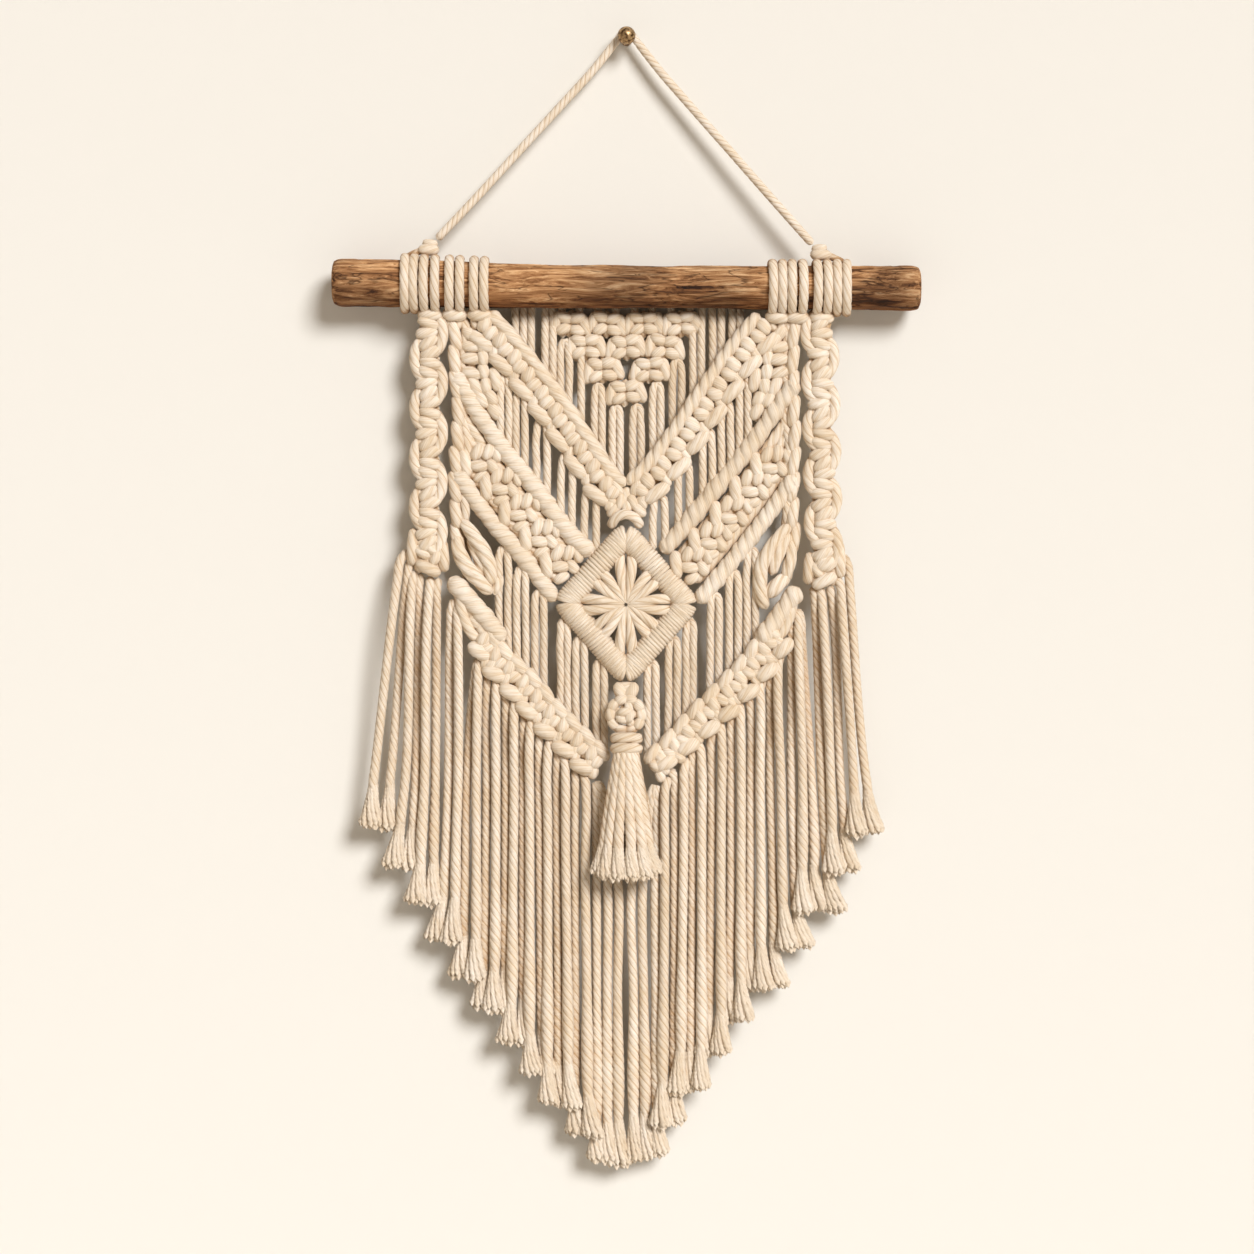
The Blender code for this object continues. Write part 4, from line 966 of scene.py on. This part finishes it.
def make_inner_net():
    batch = Batch(6)
    for x, drop in NET_KNOTS:
        out = NET_OUT + (drop - NET_KNOTS[0][1]) * 0.03
        square_knot(batch, x, drop, out, *NET_KNOT_SIZE, radius=3.1, lean=batch.random.uniform(-0.12, 0.12))
        if drop == NET_KNOTS[0][1]:
            for loop_x in (x - 5.0, x + 5.0):
                cord(batch, [*((loop_x, *place) for place in NET_KNOT_TOP), (loop_x, drop, NET_OUT)], 2.4)
    cord(batch, [(x, rod_at(x)[0], out) for x, out in NET_HOLDING_CORD], NET_HOLDING_R)
    for x in NET_LONG_XS:
        tops = [(x, *place) for place in NET_STRAND_TOP]
        hanging_strand(batch, [*tops, (x, caught_drop(x), TUCK_OUT)])
    for x, top in NET_SHORT_STRANDS:
        caught = caught_drop(x)
        hanging_strand(batch, [(x, top, NET_OUT), (x, (top + caught) / 2, 10.4), (x, caught, TUCK_OUT)])
    for left, right, top in NET_PAIRS:
        tails = []
        for x in (left, right):
            caught = caught_drop(x)
            middle = max((top + 12.0 + caught) / 2, top + 14.0)
            tails.append([(x, middle, NET_OUT + 2.0), (x, max(caught, middle + 3.0), TUCK_OUT)])
        folded_strand(batch, (left, right), top, tails, NET_OUT + 1.6)
    return batch.piece("inner_net_cords")


def upper_band(batch, side):
    """The widest band: a laid bar above, pairs of beads in the middle and a bar of separate turns below."""
    path = UPPER_BAND[side]
    random = batch.random
    way = way_of(side)
    marks, groove = UPPER_BAR_MARKS[side]
    rope_bar(batch, path, 4.0, BAND_OUT + 0.9, marks, offset=7.4, groove=groove, soft=0.3)
    rope_bar(batch, path, 4.4, BAND_OUT - 3.2, 9.0)
    for x, drop, heading in along_bar(path, 18.6):
        large = beside_bar(x, drop, heading, -7.4)
        pillow(batch, *large, BAND_OUT + 1.5, heading - way * 10, 17.6, 3.8, sink=2.2, pitch=40.0)
        small = beside_bar(x, drop, heading, -5.6, 9.3)
        pillow(batch, *small, BAND_OUT + 0.2, heading + 90 - way * 30, 8.6, 3.1, sink=1.5)
    for x, drop, heading in along_bar(path, 12.9):
        for shift, offset, lean, length in UPPER_BEADS:
            bead = beside_bar(x, drop, heading, offset, shift)
            turn = heading + 90 + lean * way + random.uniform(-9, 9)
            out = BAND_OUT + 1.5 + random.uniform(-0.3, 0.4)
            pillow(batch, *bead, out, turn, length, 3.85, sink=2.0)


def edge_column(batch, side):
    """The panel's edge: thick turns that lean one over the next, with a wavy cord behind them."""
    outer, inner = EDGE_CORDS[side]
    route = []
    for step in range(19):
        drop = EDGE_TOP + (EDGE_END - EDGE_TOP) * step / 18
        x = drop_on([(place_drop, place_x) for place_x, place_drop in inner], drop)
        lean = min(max((drop - 266.0) / 20.0, 0.0), 1.0)
        wave = math.sin(math.pi * step / 2) * 1.1
        route.append((x + wave, drop, ROD_OUT - 1.6 + (TUCK_OUT - ROD_OUT + 1.6) * lean + wave * 0.6))
    cord(batch, route, 2.75, pitch=26.0, groove=0.12)
    for number in range(9):
        drop = 168.0 + 14.2 * number
        x = drop_on([(place_drop, place_x) for place_x, place_drop in outer], drop)
        lean = 10.0 * way_of(side)
        back = min(max((drop - 258.0) / 20.0, 0.0), 1.0) * 3.4
        angle = 90 - lean + batch.random.uniform(-3, 3)
        pillow(batch, x, drop, ROD_OUT + 0.8 - back, angle, 19.0, 3.3, sink=2.4, soft=0.08)


def leaf(batch, side):
    """Thick loosely laid cords that lie over one another and meet at the leaf's tip."""
    for radius, places in LEAF_CORDS[side]:
        route = []
        for number, place in enumerate(places):
            swell = math.sin(math.pi * (0.12 + 0.76 * number / (len(places) - 1)))
            route.append((*place, 0.62 + 0.42 * swell))
        cord(batch, route, radius, pitch=42.0, groove=0.17, sides=24, soft=0.12)


def make_chevron_panel():
    batch = Batch(7)
    for side in ("left", "right"):
        for turns in PANEL_HITCHES[side]:
            hitch(batch, turns)
        upper_band(batch, side)
        rope_bar(batch, MIDDLE_BAR[side], 5.3, 16.6, 6.6, lift=2.6)
        rope_bar(batch, LOWER_BAR[side], 5.1, 16.6, 6.2, lift=2.6)
        edge_column(batch, side)
        leaf(batch, side)
        shoulder_knots(batch, side)
        fill_between(batch, MIDDLE_BAR[side], LOWER_BAR[side], FILL_OUT)
    for x, drop in PANEL_KNOTS:
        woven_knot(batch, x, drop, BAND_OUT)
    junction_knots(batch)
    for pair in zip(PANEL_STRAND_XS[::2], PANEL_STRAND_XS[1::2]):
        top = drop_on(UPPER_BAND[side_of(pair[0])], sum(pair) / 2) + 14.0
        feet = [drop_on(MIDDLE_BAR[side_of(x)], x) for x in pair]
        folded_strand(batch, pair, top, [[(x, (top + 12.0 + foot) / 2, 17.0), (x, foot - 1.0, 15.4)]
                                         for x, foot in zip(pair, feet)])
    for pair in zip(LOWER_STRAND_XS[::2], LOWER_STRAND_XS[1::2]):
        caught_pair(batch, pair, drop_on(LOWER_BAR[side_of(pair[0])], sum(pair) / 2) + 7.6)
    return batch.piece("chevron_panel_cords")


def shoulder_knots(batch, side):
    """The knotting in the corner above the middle bar, mirrored on the right."""
    for x, drop, angle, length in SHOULDER_TURNS:
        if side == "right":
            x, angle = SHOULDER_MIRROR - x, 180 - angle
        nudge = batch.random.uniform(-1, 1, 3)
        pillow(batch, x + nudge[0] * 0.4, drop + nudge[1] * 0.4, BAND_OUT + 0.4 + nudge[2] * 0.3, angle,
               length * 1.12, 3.35, sink=1.9)
        pillow(batch, x, drop, BAND_OUT - 3.2, 90, 12.0, 3.2, sink=0.5)


def folded_strand(batch, pair, top, tails, out=STRAND_OUT):
    """A cord folded in two: its bend lies under a bar, and its halves hang down beside each other."""
    left, right = pair
    middle = (left + right) / 2
    reach = (right - left) * 0.36
    bend = [(left, top + 12.0, out), (left + 0.2, top + 6.0, out), (middle - reach, top + 1.6, out - 0.8),
            (middle, top - 0.6, out - 2.0), (middle + reach, top + 1.6, out - 0.8),
            (right - 0.2, top + 6.0, out), (right, top + 12.0, out)]
    hanging_strand(batch, [*tails[0][::-1], *bend, *tails[1]])


def caught_pair(batch, pair, top):
    """A folded cord that hangs from a bar and goes in behind the lowest band."""
    tails = []
    for x in pair:
        foot = drop_on(LOWER_BAND[side_of(x)], x) - 4.0
        tails.append([(x, (top + foot) / 2, 13.6), (x, foot - 9.0, TUCK_OUT + 0.4), (x, foot, TUCK_OUT)])
    folded_strand(batch, pair, top, tails)


def junction_knots(batch):
    """The knots where the two upper bands meet, and the cord that lies over the diamond's top."""
    for way in (-1, 1):
        tie(batch, *JUNCTION, BAND_OUT, JUNCTION_SIDE_TURNS, way)
    tie(batch, *JUNCTION, BAND_OUT, JUNCTION_TURNS)
    cord(batch, CAP_CORD, 2.9, pitch=30.0, soft=0.1)


def wrapped_diamond_bar(batch, start, end, back):
    """Fine cord wound round one bar of the diamond; its turns fan out to the seam at each corner."""
    (x0, drop0), (x1, drop1) = DIAMOND[start], DIAMOND[end]
    length = math.hypot(x1 - x0, drop1 - drop0)
    turns = int(length / DIAMOND_WRAP_PITCH * 1.2)
    heading = math.degrees(math.atan2(drop1 - drop0, x1 - x0))
    across = heading + 90
    core = [(x0 + (x1 - x0) * t, drop0 + (drop1 - drop0) * t, back + 0.6)
            for t in (0.03, 0.3, 0.5, 0.7, 0.97)]
    cord(batch, core, 5.6, groove=0.0, step=2.0, sides=24, plies=3, soft=0.6)
    for number in range(turns):
        share = (number + 0.5) / turns
        share -= 0.3 * math.sin(math.tau * share) / math.tau
        t = (1.0 + (length - 2.0) * share) / length
        near_end = min(t, 1 - t) * length
        fan = max(1 - near_end / DIAMOND_FAN, 0.0)
        seam = 90.0 if (start if t < 0.5 else end) in ("top", "bottom") else 0.0
        turned = (seam - across + 90) % 180 - 90
        wander = batch.random.uniform(-1, 1, 2)
        angle = across + turned * 0.86 * fan ** 1.2 + wander[0] * 2.0
        half_width = (6.2 + 0.12 * wander[1]) * (1 - 0.3 * fan ** 2.5)
        depth = (6.7 + 0.15 * wander[1]) * (1 - 0.14 * fan)
        over_turn(batch, x0 + (x1 - x0) * t, drop0 + (drop1 - drop0) * t, angle, half_width, back, depth,
                  1.25 + 0.45 * fan, slant=0.5, groove=0.05, step=1.9, sides=8)


def make_diamond_medallion():
    batch = Batch(8)
    corners = ("top", "right", "bottom", "left")
    for number, (start, end) in enumerate(zip(corners, (*corners[1:], corners[0]))):
        wrapped_diamond_bar(batch, start, end, 16.0 + 0.3 * (number % 2))
    middle_x, middle_drop = STAR_MIDDLE
    for angle, reach in STAR_LOOPS:
        for way in (-1, 1):
            heading = math.radians(angle + way * 2.0)
            along_x, along_drop = math.sin(heading), -math.cos(heading)
            route = []
            for t, spread, out, thick in STAR_CORD:
                away = reach * t
                route.append((middle_x + along_x * away - along_drop * spread * way,
                              middle_drop + along_drop * away + along_x * spread * way, out, thick))
            cord(batch, route, 2.95, pitch=46.0 * way, groove=0.11, soft=0.1)
    for pair in zip(MEDALLION_STRAND_XS[::2], MEDALLION_STRAND_XS[1::2]):
        edge = (DIAMOND[side_of(pair[0])], DIAMOND["bottom"])
        caught_pair(batch, pair, drop_on(edge, sum(pair) / 2) + 10.0)
    return batch.piece("diamond_medallion_cords")


def make_lower_band(side):
    """The lowest band: laid turns above, small beads in the middle, large turns below, and its fringe."""
    batch = Batch(9 if side == "left" else 10)
    way = way_of(side)
    path = LOWER_BAND[side]
    random = batch.random
    rope_bar(batch, path, 5.6, BAND_OUT - 3.4, 9.0, offset=1.6)
    for x, drop, heading in along_bar(path, 11.4):
        above = beside_bar(x, drop, heading, 7.2)
        pillow(batch, *above, BAND_OUT + 0.9, heading + way * 9, 14.2, 3.55, sink=1.9)
    for number, (x, drop, heading) in enumerate(along_bar(path, 14.5)):
        near_start = max(1 - (number if side == "left" else 5 - number) / 1.5, 0.0)
        large = beside_bar(x, drop, heading, -6.9 + 3.2 * near_start)
        pillow(batch, *large, BAND_OUT + 1.7, heading - way * 18, 14.6, 4.1, sink=2.2)
        small = beside_bar(x, drop, heading, -4.6, 7.2)
        pillow(batch, *small, BAND_OUT + 0.4, heading + 90 - way * 26, 7.6, 2.9, sink=1.5)
    for x, drop, heading in along_bar(path, 10.6):
        for shift, offset, lean, length, radius in LOWER_BEADS:
            bead = beside_bar(x, drop, heading, offset, shift)
            turn = heading + 90 + lean * way + random.uniform(-10, 10)
            out = BAND_OUT + 1.2 + random.uniform(-0.3, 0.4)
            pillow(batch, *bead, out, turn, length, radius, sink=1.9)
    rope_bar(batch, LOWER_CORD[side], 5.8, BAND_OUT + 0.4, 7.0)
    route = [(x * way, drop, BAND_OUT + forward) for x, drop, forward in LOWER_SIDE_CORD]
    cord(batch, route, 3.2, pitch=30.0, soft=0.2)
    for x, drop, angle, length in LOWER_CORNER_TURNS:
        pillow(batch, x * way, drop, BAND_OUT - 0.4, 90 - (90 - angle) * way, length, 3.3, sink=1.4)
    fringe(batch, BAND_FRINGE[side], band_tops(side))
    return batch.piece("lower_band_cords_" + side)


def make_ball_tassel():
    batch = Batch(11)
    for way in (-1, 1):
        tie(batch, *COLLAR, RING_OUT, COLLAR_SIDE_TURNS, way)
    tie(batch, *COLLAR, RING_OUT, COLLAR_TURNS)
    middle_x, middle_drop = RING_MIDDLE
    for number in range(10):
        angle = math.tau * (number + 0.5) / 10
        pillow(batch, middle_x + RING_R * math.sin(angle), middle_drop - RING_R * math.cos(angle),
               RING_OUT + 0.4 * (number % 2), math.degrees(angle), 8.0, 2.95, sink=1.4)
    for number in range(9):
        height = 1 - 2 * (number + 0.5) / 9
        angle = number * 2.4
        flat = math.sqrt(1 - height * height)
        pillow(batch, middle_x + 3.6 * flat * math.cos(angle), middle_drop + 3.6 * height,
               RING_OUT + 1.2 + 3.0 * flat * math.sin(angle), math.degrees(angle) + 60, 8.0, 2.5, sink=1.6)
    for wrap_drop, wrap_out in NECK_WRAPS:
        route = []
        for step in range(17):
            angle = math.tau * step / 16
            route.append((NECK_HALF_SIZE[0] * math.sin(angle), wrap_drop + 0.5 * math.cos(angle),
                          wrap_out - NECK_HALF_SIZE[1] * math.cos(angle)))
        cord(batch, route, 3.15, pitch=32.0, ends=(False, False), soft=0.1)
    for number in range(SKIRT_STRANDS):
        angle = math.tau * (number + 0.35) / SKIRT_STRANDS
        across, forward = math.sin(angle), math.cos(angle)
        route = [(wide * across, drop, TASSEL_OUT + out + deep * forward, thick)
                 for wide, drop, out, deep, thick in SKIRT]
        hanging_strand(batch, route, 2.95, pitch=24.0)
        frayed_end(batch, (13.0 * across, 452.0, TASSEL_OUT + 6.2 * forward),
                   (15.6 * across, SKIRT_END + 3.5 * forward, TASSEL_OUT + 6.8 * forward), 4.4)
    return batch.piece("ball_tassel_cords")


def make_rod():
    """Weathered wood: fibres, shallow furrows and cracks along the grain, and a few knots."""
    ends = ROD_STATIONS[0], ROD_STATIONS[-1]
    count = int((ends[1][0] - ends[0][0]) / ROD_STEP)
    vertices = []
    for x in np.linspace(ends[0][0], ends[1][0], count + 1):
        drop, radius = rod_at(x)
        for side in range(ROD_SIDES):
            vertices.append(rod_place(x, drop, radius, math.tau * side / ROD_SIDES))
    faces = skin(count + 1, ROD_SIDES)
    for row, (x, drop, radius), bulge in ((0, ends[0], -ROD_END_BULGE), (count, ends[1], ROD_END_BULGE)):
        centre = len(vertices)
        vertices.append((x + bulge, drop, ROD_OUT))
        for side in range(ROD_SIDES):
            a, b = row * ROD_SIDES + side, row * ROD_SIDES + (side + 1) % ROD_SIDES
            faces.append((a, centre, b) if row == 0 else (b, centre, a))
    return plain_piece("rod_wood", vertices, faces)


def rod_place(x, drop, radius, angle):
    across, forward = math.sin(angle), math.cos(angle)
    grain = Vector((x * 0.012, across * 2.2, forward * 2.2))
    furrow = noise.noise(grain + Vector((3.0, 0, 0)))
    fibres = noise.noise(Vector((x * 0.03, across * 9.0, forward * 9.0)))
    crack = noise.noise(Vector((x * 0.02 + 9.0, across * 5.0, forward * 5.0)))
    crack_depth = max(0.0, 0.06 - abs(crack)) / 0.06
    lumps = noise.noise(Vector((x * 0.03, across * 1.1, forward * 1.1)))
    splinters = noise.noise(Vector((x * 0.11, across * 15.0, forward * 15.0)))
    height = 0.35 * furrow + 0.5 * fibres + 0.3 * splinters - 0.8 * crack_depth ** 1.5 + 0.5 * lumps
    for knot_x, knot_angle, size in ROD_KNOTS:
        turn = (math.degrees(angle) - 90 + knot_angle + 180) % 360 - 180
        away = math.hypot((x - knot_x) / size, turn * math.pi / 180 * radius / (size * 0.6))
        height += 0.5 * math.exp(-away ** 2 * 2.5) - 0.35 * math.exp(-(away - 1.0) ** 2 * 14)
    reach = radius + height
    return (x, drop - reach * forward, ROD_OUT + reach * across)


def make_peg():
    profile = list(PEG_PROFILE)
    start = math.asin(PEG_PROFILE[-1][0] / PEG_HEAD_R)
    for step in range(1, PEG_HEAD_STEPS + 1):
        angle = start + (math.pi - start) * step / PEG_HEAD_STEPS
        profile.append((PEG_HEAD_R * math.sin(angle), PEG_HEAD_OUT - PEG_HEAD_R * math.cos(angle)))
    vertices = []
    for radius, out in profile:
        for side in range(PEG_SIDES):
            angle = math.tau * side / PEG_SIDES
            reach = max(radius, 0.001)
            vertices.append((reach * math.cos(angle), reach * math.sin(angle), out))
    faces = [(a, d, c, b) for a, b, c, d in skin(len(profile), PEG_SIDES)]
    made = plain_piece("peg_metal", vertices, faces)
    made.data.set_sharp_from_angle(angle=math.radians(50))
    return made


# Materials

WHITE = (1.0, 1.0, 1.0)


class Paint:
    """A material, with short calls that add nodes to it and join them."""

    def __init__(self, name, **values):
        self.material = bpy.data.materials.new(name)
        self.material.use_nodes = True
        self.tree = self.material.node_tree
        self.shader = self.tree.nodes["Principled BSDF"]
        for socket, value in values.items():
            self.feed(self.shader, socket.replace("_", " "), value)

    def feed(self, node, socket, value):
        """Set an input to a value, or join it to another node's output."""
        if isinstance(value, bpy.types.NodeSocket):
            self.tree.links.new(value, node.inputs[socket])
        else:
            node.inputs[socket].default_value = value

    def add(self, kind, output, inputs=None, **settings):
        """Add a node with these settings and inputs, and give one of its outputs."""
        node = self.tree.nodes.new("ShaderNode" + kind)
        for setting, value in settings.items():
            setattr(node, setting, value)
        for socket, value in (inputs or {}).items():
            self.feed(node, socket, value)
        return node.outputs[output]

    def attribute(self, name):
        return self.add("Attribute", "Fac", attribute_name=name)

    def math(self, operation, *values):
        return self.add("Math", 0, dict(enumerate(values)), operation=operation)

    def noise(self, vector, stretch=None, **values):
        """A noise texture, drawn out along the axes where its stretch is small."""
        if stretch:
            vector = self.add("Mapping", "Vector", {"Vector": vector, "Scale": stretch})
        return self.add("TexNoise", "Fac", {"Vector": vector, **values})

    def ramp(self, amount, *stops):
        color = self.add("ValToRGB", "Color", {"Fac": amount})
        elements = color.node.color_ramp.elements
        while len(elements) < len(stops):
            elements.new(0.5)
        for element, (position, shade) in zip(elements, stops):
            element.position = position
            element.color = (*shade, 1.0)
        return color

    def multiply(self, color, *shades, factor=1.0):
        for shade in shades:
            color = self.add("Mix", "Result", {"Factor": factor, "A": color, "B": shade},
                             data_type="RGBA", blend_type="MULTIPLY")
        return color

    def relief(self, *layers):
        """Bump from each layer's height, strength and distance, one on the other."""
        below = {}
        for height, strength, distance in layers:
            inputs = {"Height": height, "Strength": strength, "Distance": distance, **below}
            below = {"Normal": self.add("Bump", "Normal", inputs)}
        self.feed(self.shader, "Normal", below["Normal"])


def cotton_material():
    """Soft unbleached cotton: yarns along the lay, painted shade between the plies and deep among the cords,
    a little uneven in colour.
    """
    paint = Paint("cotton_cord", Roughness=0.92, Specular_IOR_Level=0.18, Sheen_Weight=0.25,
                  Sheen_Roughness=0.5, Sheen_Tint=(1.0, 0.93, 0.82, 1.0))
    lay = paint.add("UVMap", "UV", uv_map="cord")
    place = paint.add("TexCoord", "Object")
    across = paint.add("SeparateXYZ", "X", {"Vector": lay})
    plies = paint.math("ABSOLUTE", paint.math("SINE", paint.math("MULTIPLY", across, math.pi * PLIES)))
    # Mask for the painted shade in the grooves between the plies; a soft cord gets less of it
    marks = paint.math("MAXIMUM", plies, paint.attribute("soft"))
    yarns = paint.noise(lay, (34.0, 1.6, 1.0), Scale=1.0, Detail=2.0)
    blotches = paint.noise(place, Scale=60.0, Detail=3.0)
    fuzz = paint.noise(place, Scale=2600.0, Detail=2.0)
    color = paint.multiply(
        # The cotton's own colour, with painted shade in the grooves between the plies
        paint.ramp(marks, (0.0, (0.56, 0.40, 0.26)), (0.2, (0.775, 0.655, 0.51)),
                   (0.55, (0.855, 0.77, 0.67))),
        paint.ramp(blotches, (0.3, (0.93, 0.88, 0.80)), (0.7, WHITE)),
        paint.ramp(paint.attribute("tint"), (0.0, (0.90, 0.865, 0.81)), (1.0, WHITE)),
        # Painted shade: darker and warmer where a place lies deep among the cords
        paint.ramp(paint.attribute("deep"), (0.10, WHITE), (0.40, (0.74, 0.60, 0.46)),
                   (0.9, (0.46, 0.30, 0.18))),
        paint.ramp(yarns, (0.36, (0.86, 0.79, 0.70)), (0.52, WHITE)))
    paint.feed(paint.shader, "Base Color", color)
    paint.relief((yarns, 0.55, 0.0006), (fuzz, 0.35, 0.00015))
    return paint.material


def wood_material():
    """Brown weathered wood with grey-brown ridges, dark furrows and cracks, and painted shade that darkens
    its underside.
    """
    paint = Paint("weathered_wood", Roughness=0.82, Specular_IOR_Level=0.25)
    place = paint.add("TexCoord", "Object")
    grain = paint.noise(place, (24.0, 250.0, 250.0), Scale=1.0, Detail=9.0, Roughness=0.74, Distortion=1.1)
    patches = paint.noise(place, Scale=26.0, Detail=3.0)
    crack = paint.noise(place, (20.0, 100.0, 100.0), Scale=1.0, Detail=3.0, Distortion=0.8)
    fibre = paint.noise(place, (40.0, 900.0, 900.0), Scale=1.0, Detail=4.0, Distortion=0.4)
    height = paint.add("SeparateXYZ", "Z", {"Vector": place})
    painted_shade_height = paint.add("MapRange", "Result", {"Value": height, "From Min": -0.154, "From Max": -0.140})
    color = paint.multiply(
        paint.ramp(grain, (0.36, (0.045, 0.018, 0.008)), (0.45, (0.25, 0.115, 0.045)),
                   (0.54, (0.49, 0.28, 0.135)), (0.68, (0.86, 0.62, 0.38))),
        paint.ramp(patches, (0.35, (0.62, 0.58, 0.55)), (0.65, (1.15, 1.08, 1.0))))
    cracks = paint.ramp(crack, (0.478, WHITE), (0.5, (0.2, 0.17, 0.15)), (0.516, WHITE))
    color = paint.multiply(color, cracks, factor=0.9)
    # Painted shade: darker towards the bottom of the rod
    color = paint.multiply(color, paint.ramp(painted_shade_height, (0.0, (0.50, 0.38, 0.28)), (1.0, WHITE)))
    paint.feed(paint.shader, "Base Color", color)
    paint.relief((grain, 0.7, 0.0008), (fibre, 0.45, 0.0003))
    return paint.material


def brass_material():
    """Spotted aged brass, rougher where it is dark."""
    paint = Paint("aged_brass", Metallic=0.85)
    spots = paint.noise(paint.add("TexCoord", "Object"), Scale=700.0, Detail=4.0)
    color = paint.ramp(spots, (0.38, (0.10, 0.052, 0.022)), (0.62, (0.52, 0.34, 0.17)))
    paint.feed(paint.shader, "Base Color", color)
    rough = paint.add("MapRange", "Result", {"Value": spots, "To Min": 0.5, "To Max": 0.26})
    paint.feed(paint.shader, "Roughness", rough)
    return paint.material


def plain_paint(name, color):
    return Paint(name, Base_Color=(*color, 1.0), Roughness=0.95, Specular_IOR_Level=0.1)


def wall_material():
    """Pale wall paint that can be seen through from behind the wall."""
    paint = plain_paint("wall_paint", WALL_COLOR)
    behind = paint.add("NewGeometry", "Backfacing")
    clear = paint.add("BsdfTransparent", "BSDF")
    inputs = {"Fac": behind, 1: paint.shader.outputs["BSDF"], 2: clear}
    paint.feed(paint.tree.nodes["Material Output"], "Surface", paint.add("MixShader", "Shader", inputs))
    return paint.material


# The stage, the light and the camera

def make_stage():
    left, right = -STAGE_HALF_WIDTH, STAGE_HALF_WIDTH
    wall = plain_piece("wall", ((left, FLOOR_DROP, WALL_OUT), (right, FLOOR_DROP, WALL_OUT),
                                (right, WALL_TOP, WALL_OUT), (left, WALL_TOP, WALL_OUT)), [(0, 1, 2, 3)])
    wall.data.materials.append(wall_material())
    floor = plain_piece("floor", ((left, FLOOR_DROP, FLOOR_REACH), (right, FLOOR_DROP, FLOOR_REACH),
                                  (right, FLOOR_DROP, -FLOOR_REACH), (left, FLOOR_DROP, -FLOOR_REACH)),
                        [(0, 1, 2, 3)])
    floor.data.materials.append(plain_paint("floor_paint", FLOOR_COLOR).material)


def make_light():
    """One soft sun from above on the right, and a weak warm light from the room."""
    light = bpy.data.lights.new("key", "SUN")
    light.angle = math.radians(SUN_ANGLE)
    light.energy = SUN_STRENGTH
    light.color = SUN_COLOR
    sun = show("key", light)
    start, end = Vector(to_metres(SUN_PLACE)), Vector(to_metres(SUN_TARGET))
    sun.location = start
    sun.rotation_euler = (end - start).to_track_quat("-Z", "Y").to_euler()
    world = bpy.data.worlds.new("studio")
    world.use_nodes = True
    background = world.node_tree.nodes["Background"]
    background.inputs["Color"].default_value = ROOM_COLOR
    background.inputs["Strength"].default_value = ROOM_STRENGTH
    bpy.context.scene.world = world
    bpy.context.scene.view_settings.view_transform = "Standard"


def make_camera():
    lens = bpy.data.cameras.new("camera")
    lens.sensor_width = CAMERA_SENSOR
    lens.lens = CAMERA_SENSOR * (CAMERA_AWAY - ROD_OUT) / FRAME_SIZE
    camera = show("camera", lens)
    camera.location = to_metres((*FRAME_MIDDLE, CAMERA_AWAY))
    camera.rotation_euler = (math.radians(90), 0.0, 0.0)
    bpy.context.scene.camera = camera


def dress(piece, material, slot, *nodes):
    piece.data.materials.append(material)
    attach(piece, "root")
    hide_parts(*nodes)


def main():
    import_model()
    make_camera()
    make_light()
    make_stage()
    cotton = cotton_material()
    dress(make_rod(), wood_material(), "rod", "rod")
    dress(make_peg(), brass_material(), "wall_peg", "wall_peg")
    dress(make_hanger_cord(), cotton, "hanger_cord", "hanger_cord")
    dress(make_inner_net(), cotton, "inner_net", "inner_net")
    dress(make_chevron_panel(), cotton, "chevron_panel", "chevron_panel")
    dress(make_diamond_medallion(), cotton, "diamond_medallion", "diamond_medallion")
    dress(make_ball_tassel(), cotton, "ball_tassel", "ball_tassel")
    for side in ("left", "right"):
        dress(make_hanger_hitch(side), cotton, "hanger_hitch", "hanger_hitch_" + side)
        dress(make_side_braid(side), cotton, "side_braid", "side_braid_" + side)
        dress(make_lower_band(side), cotton, "lower_band", "lower_band_" + side)


main()
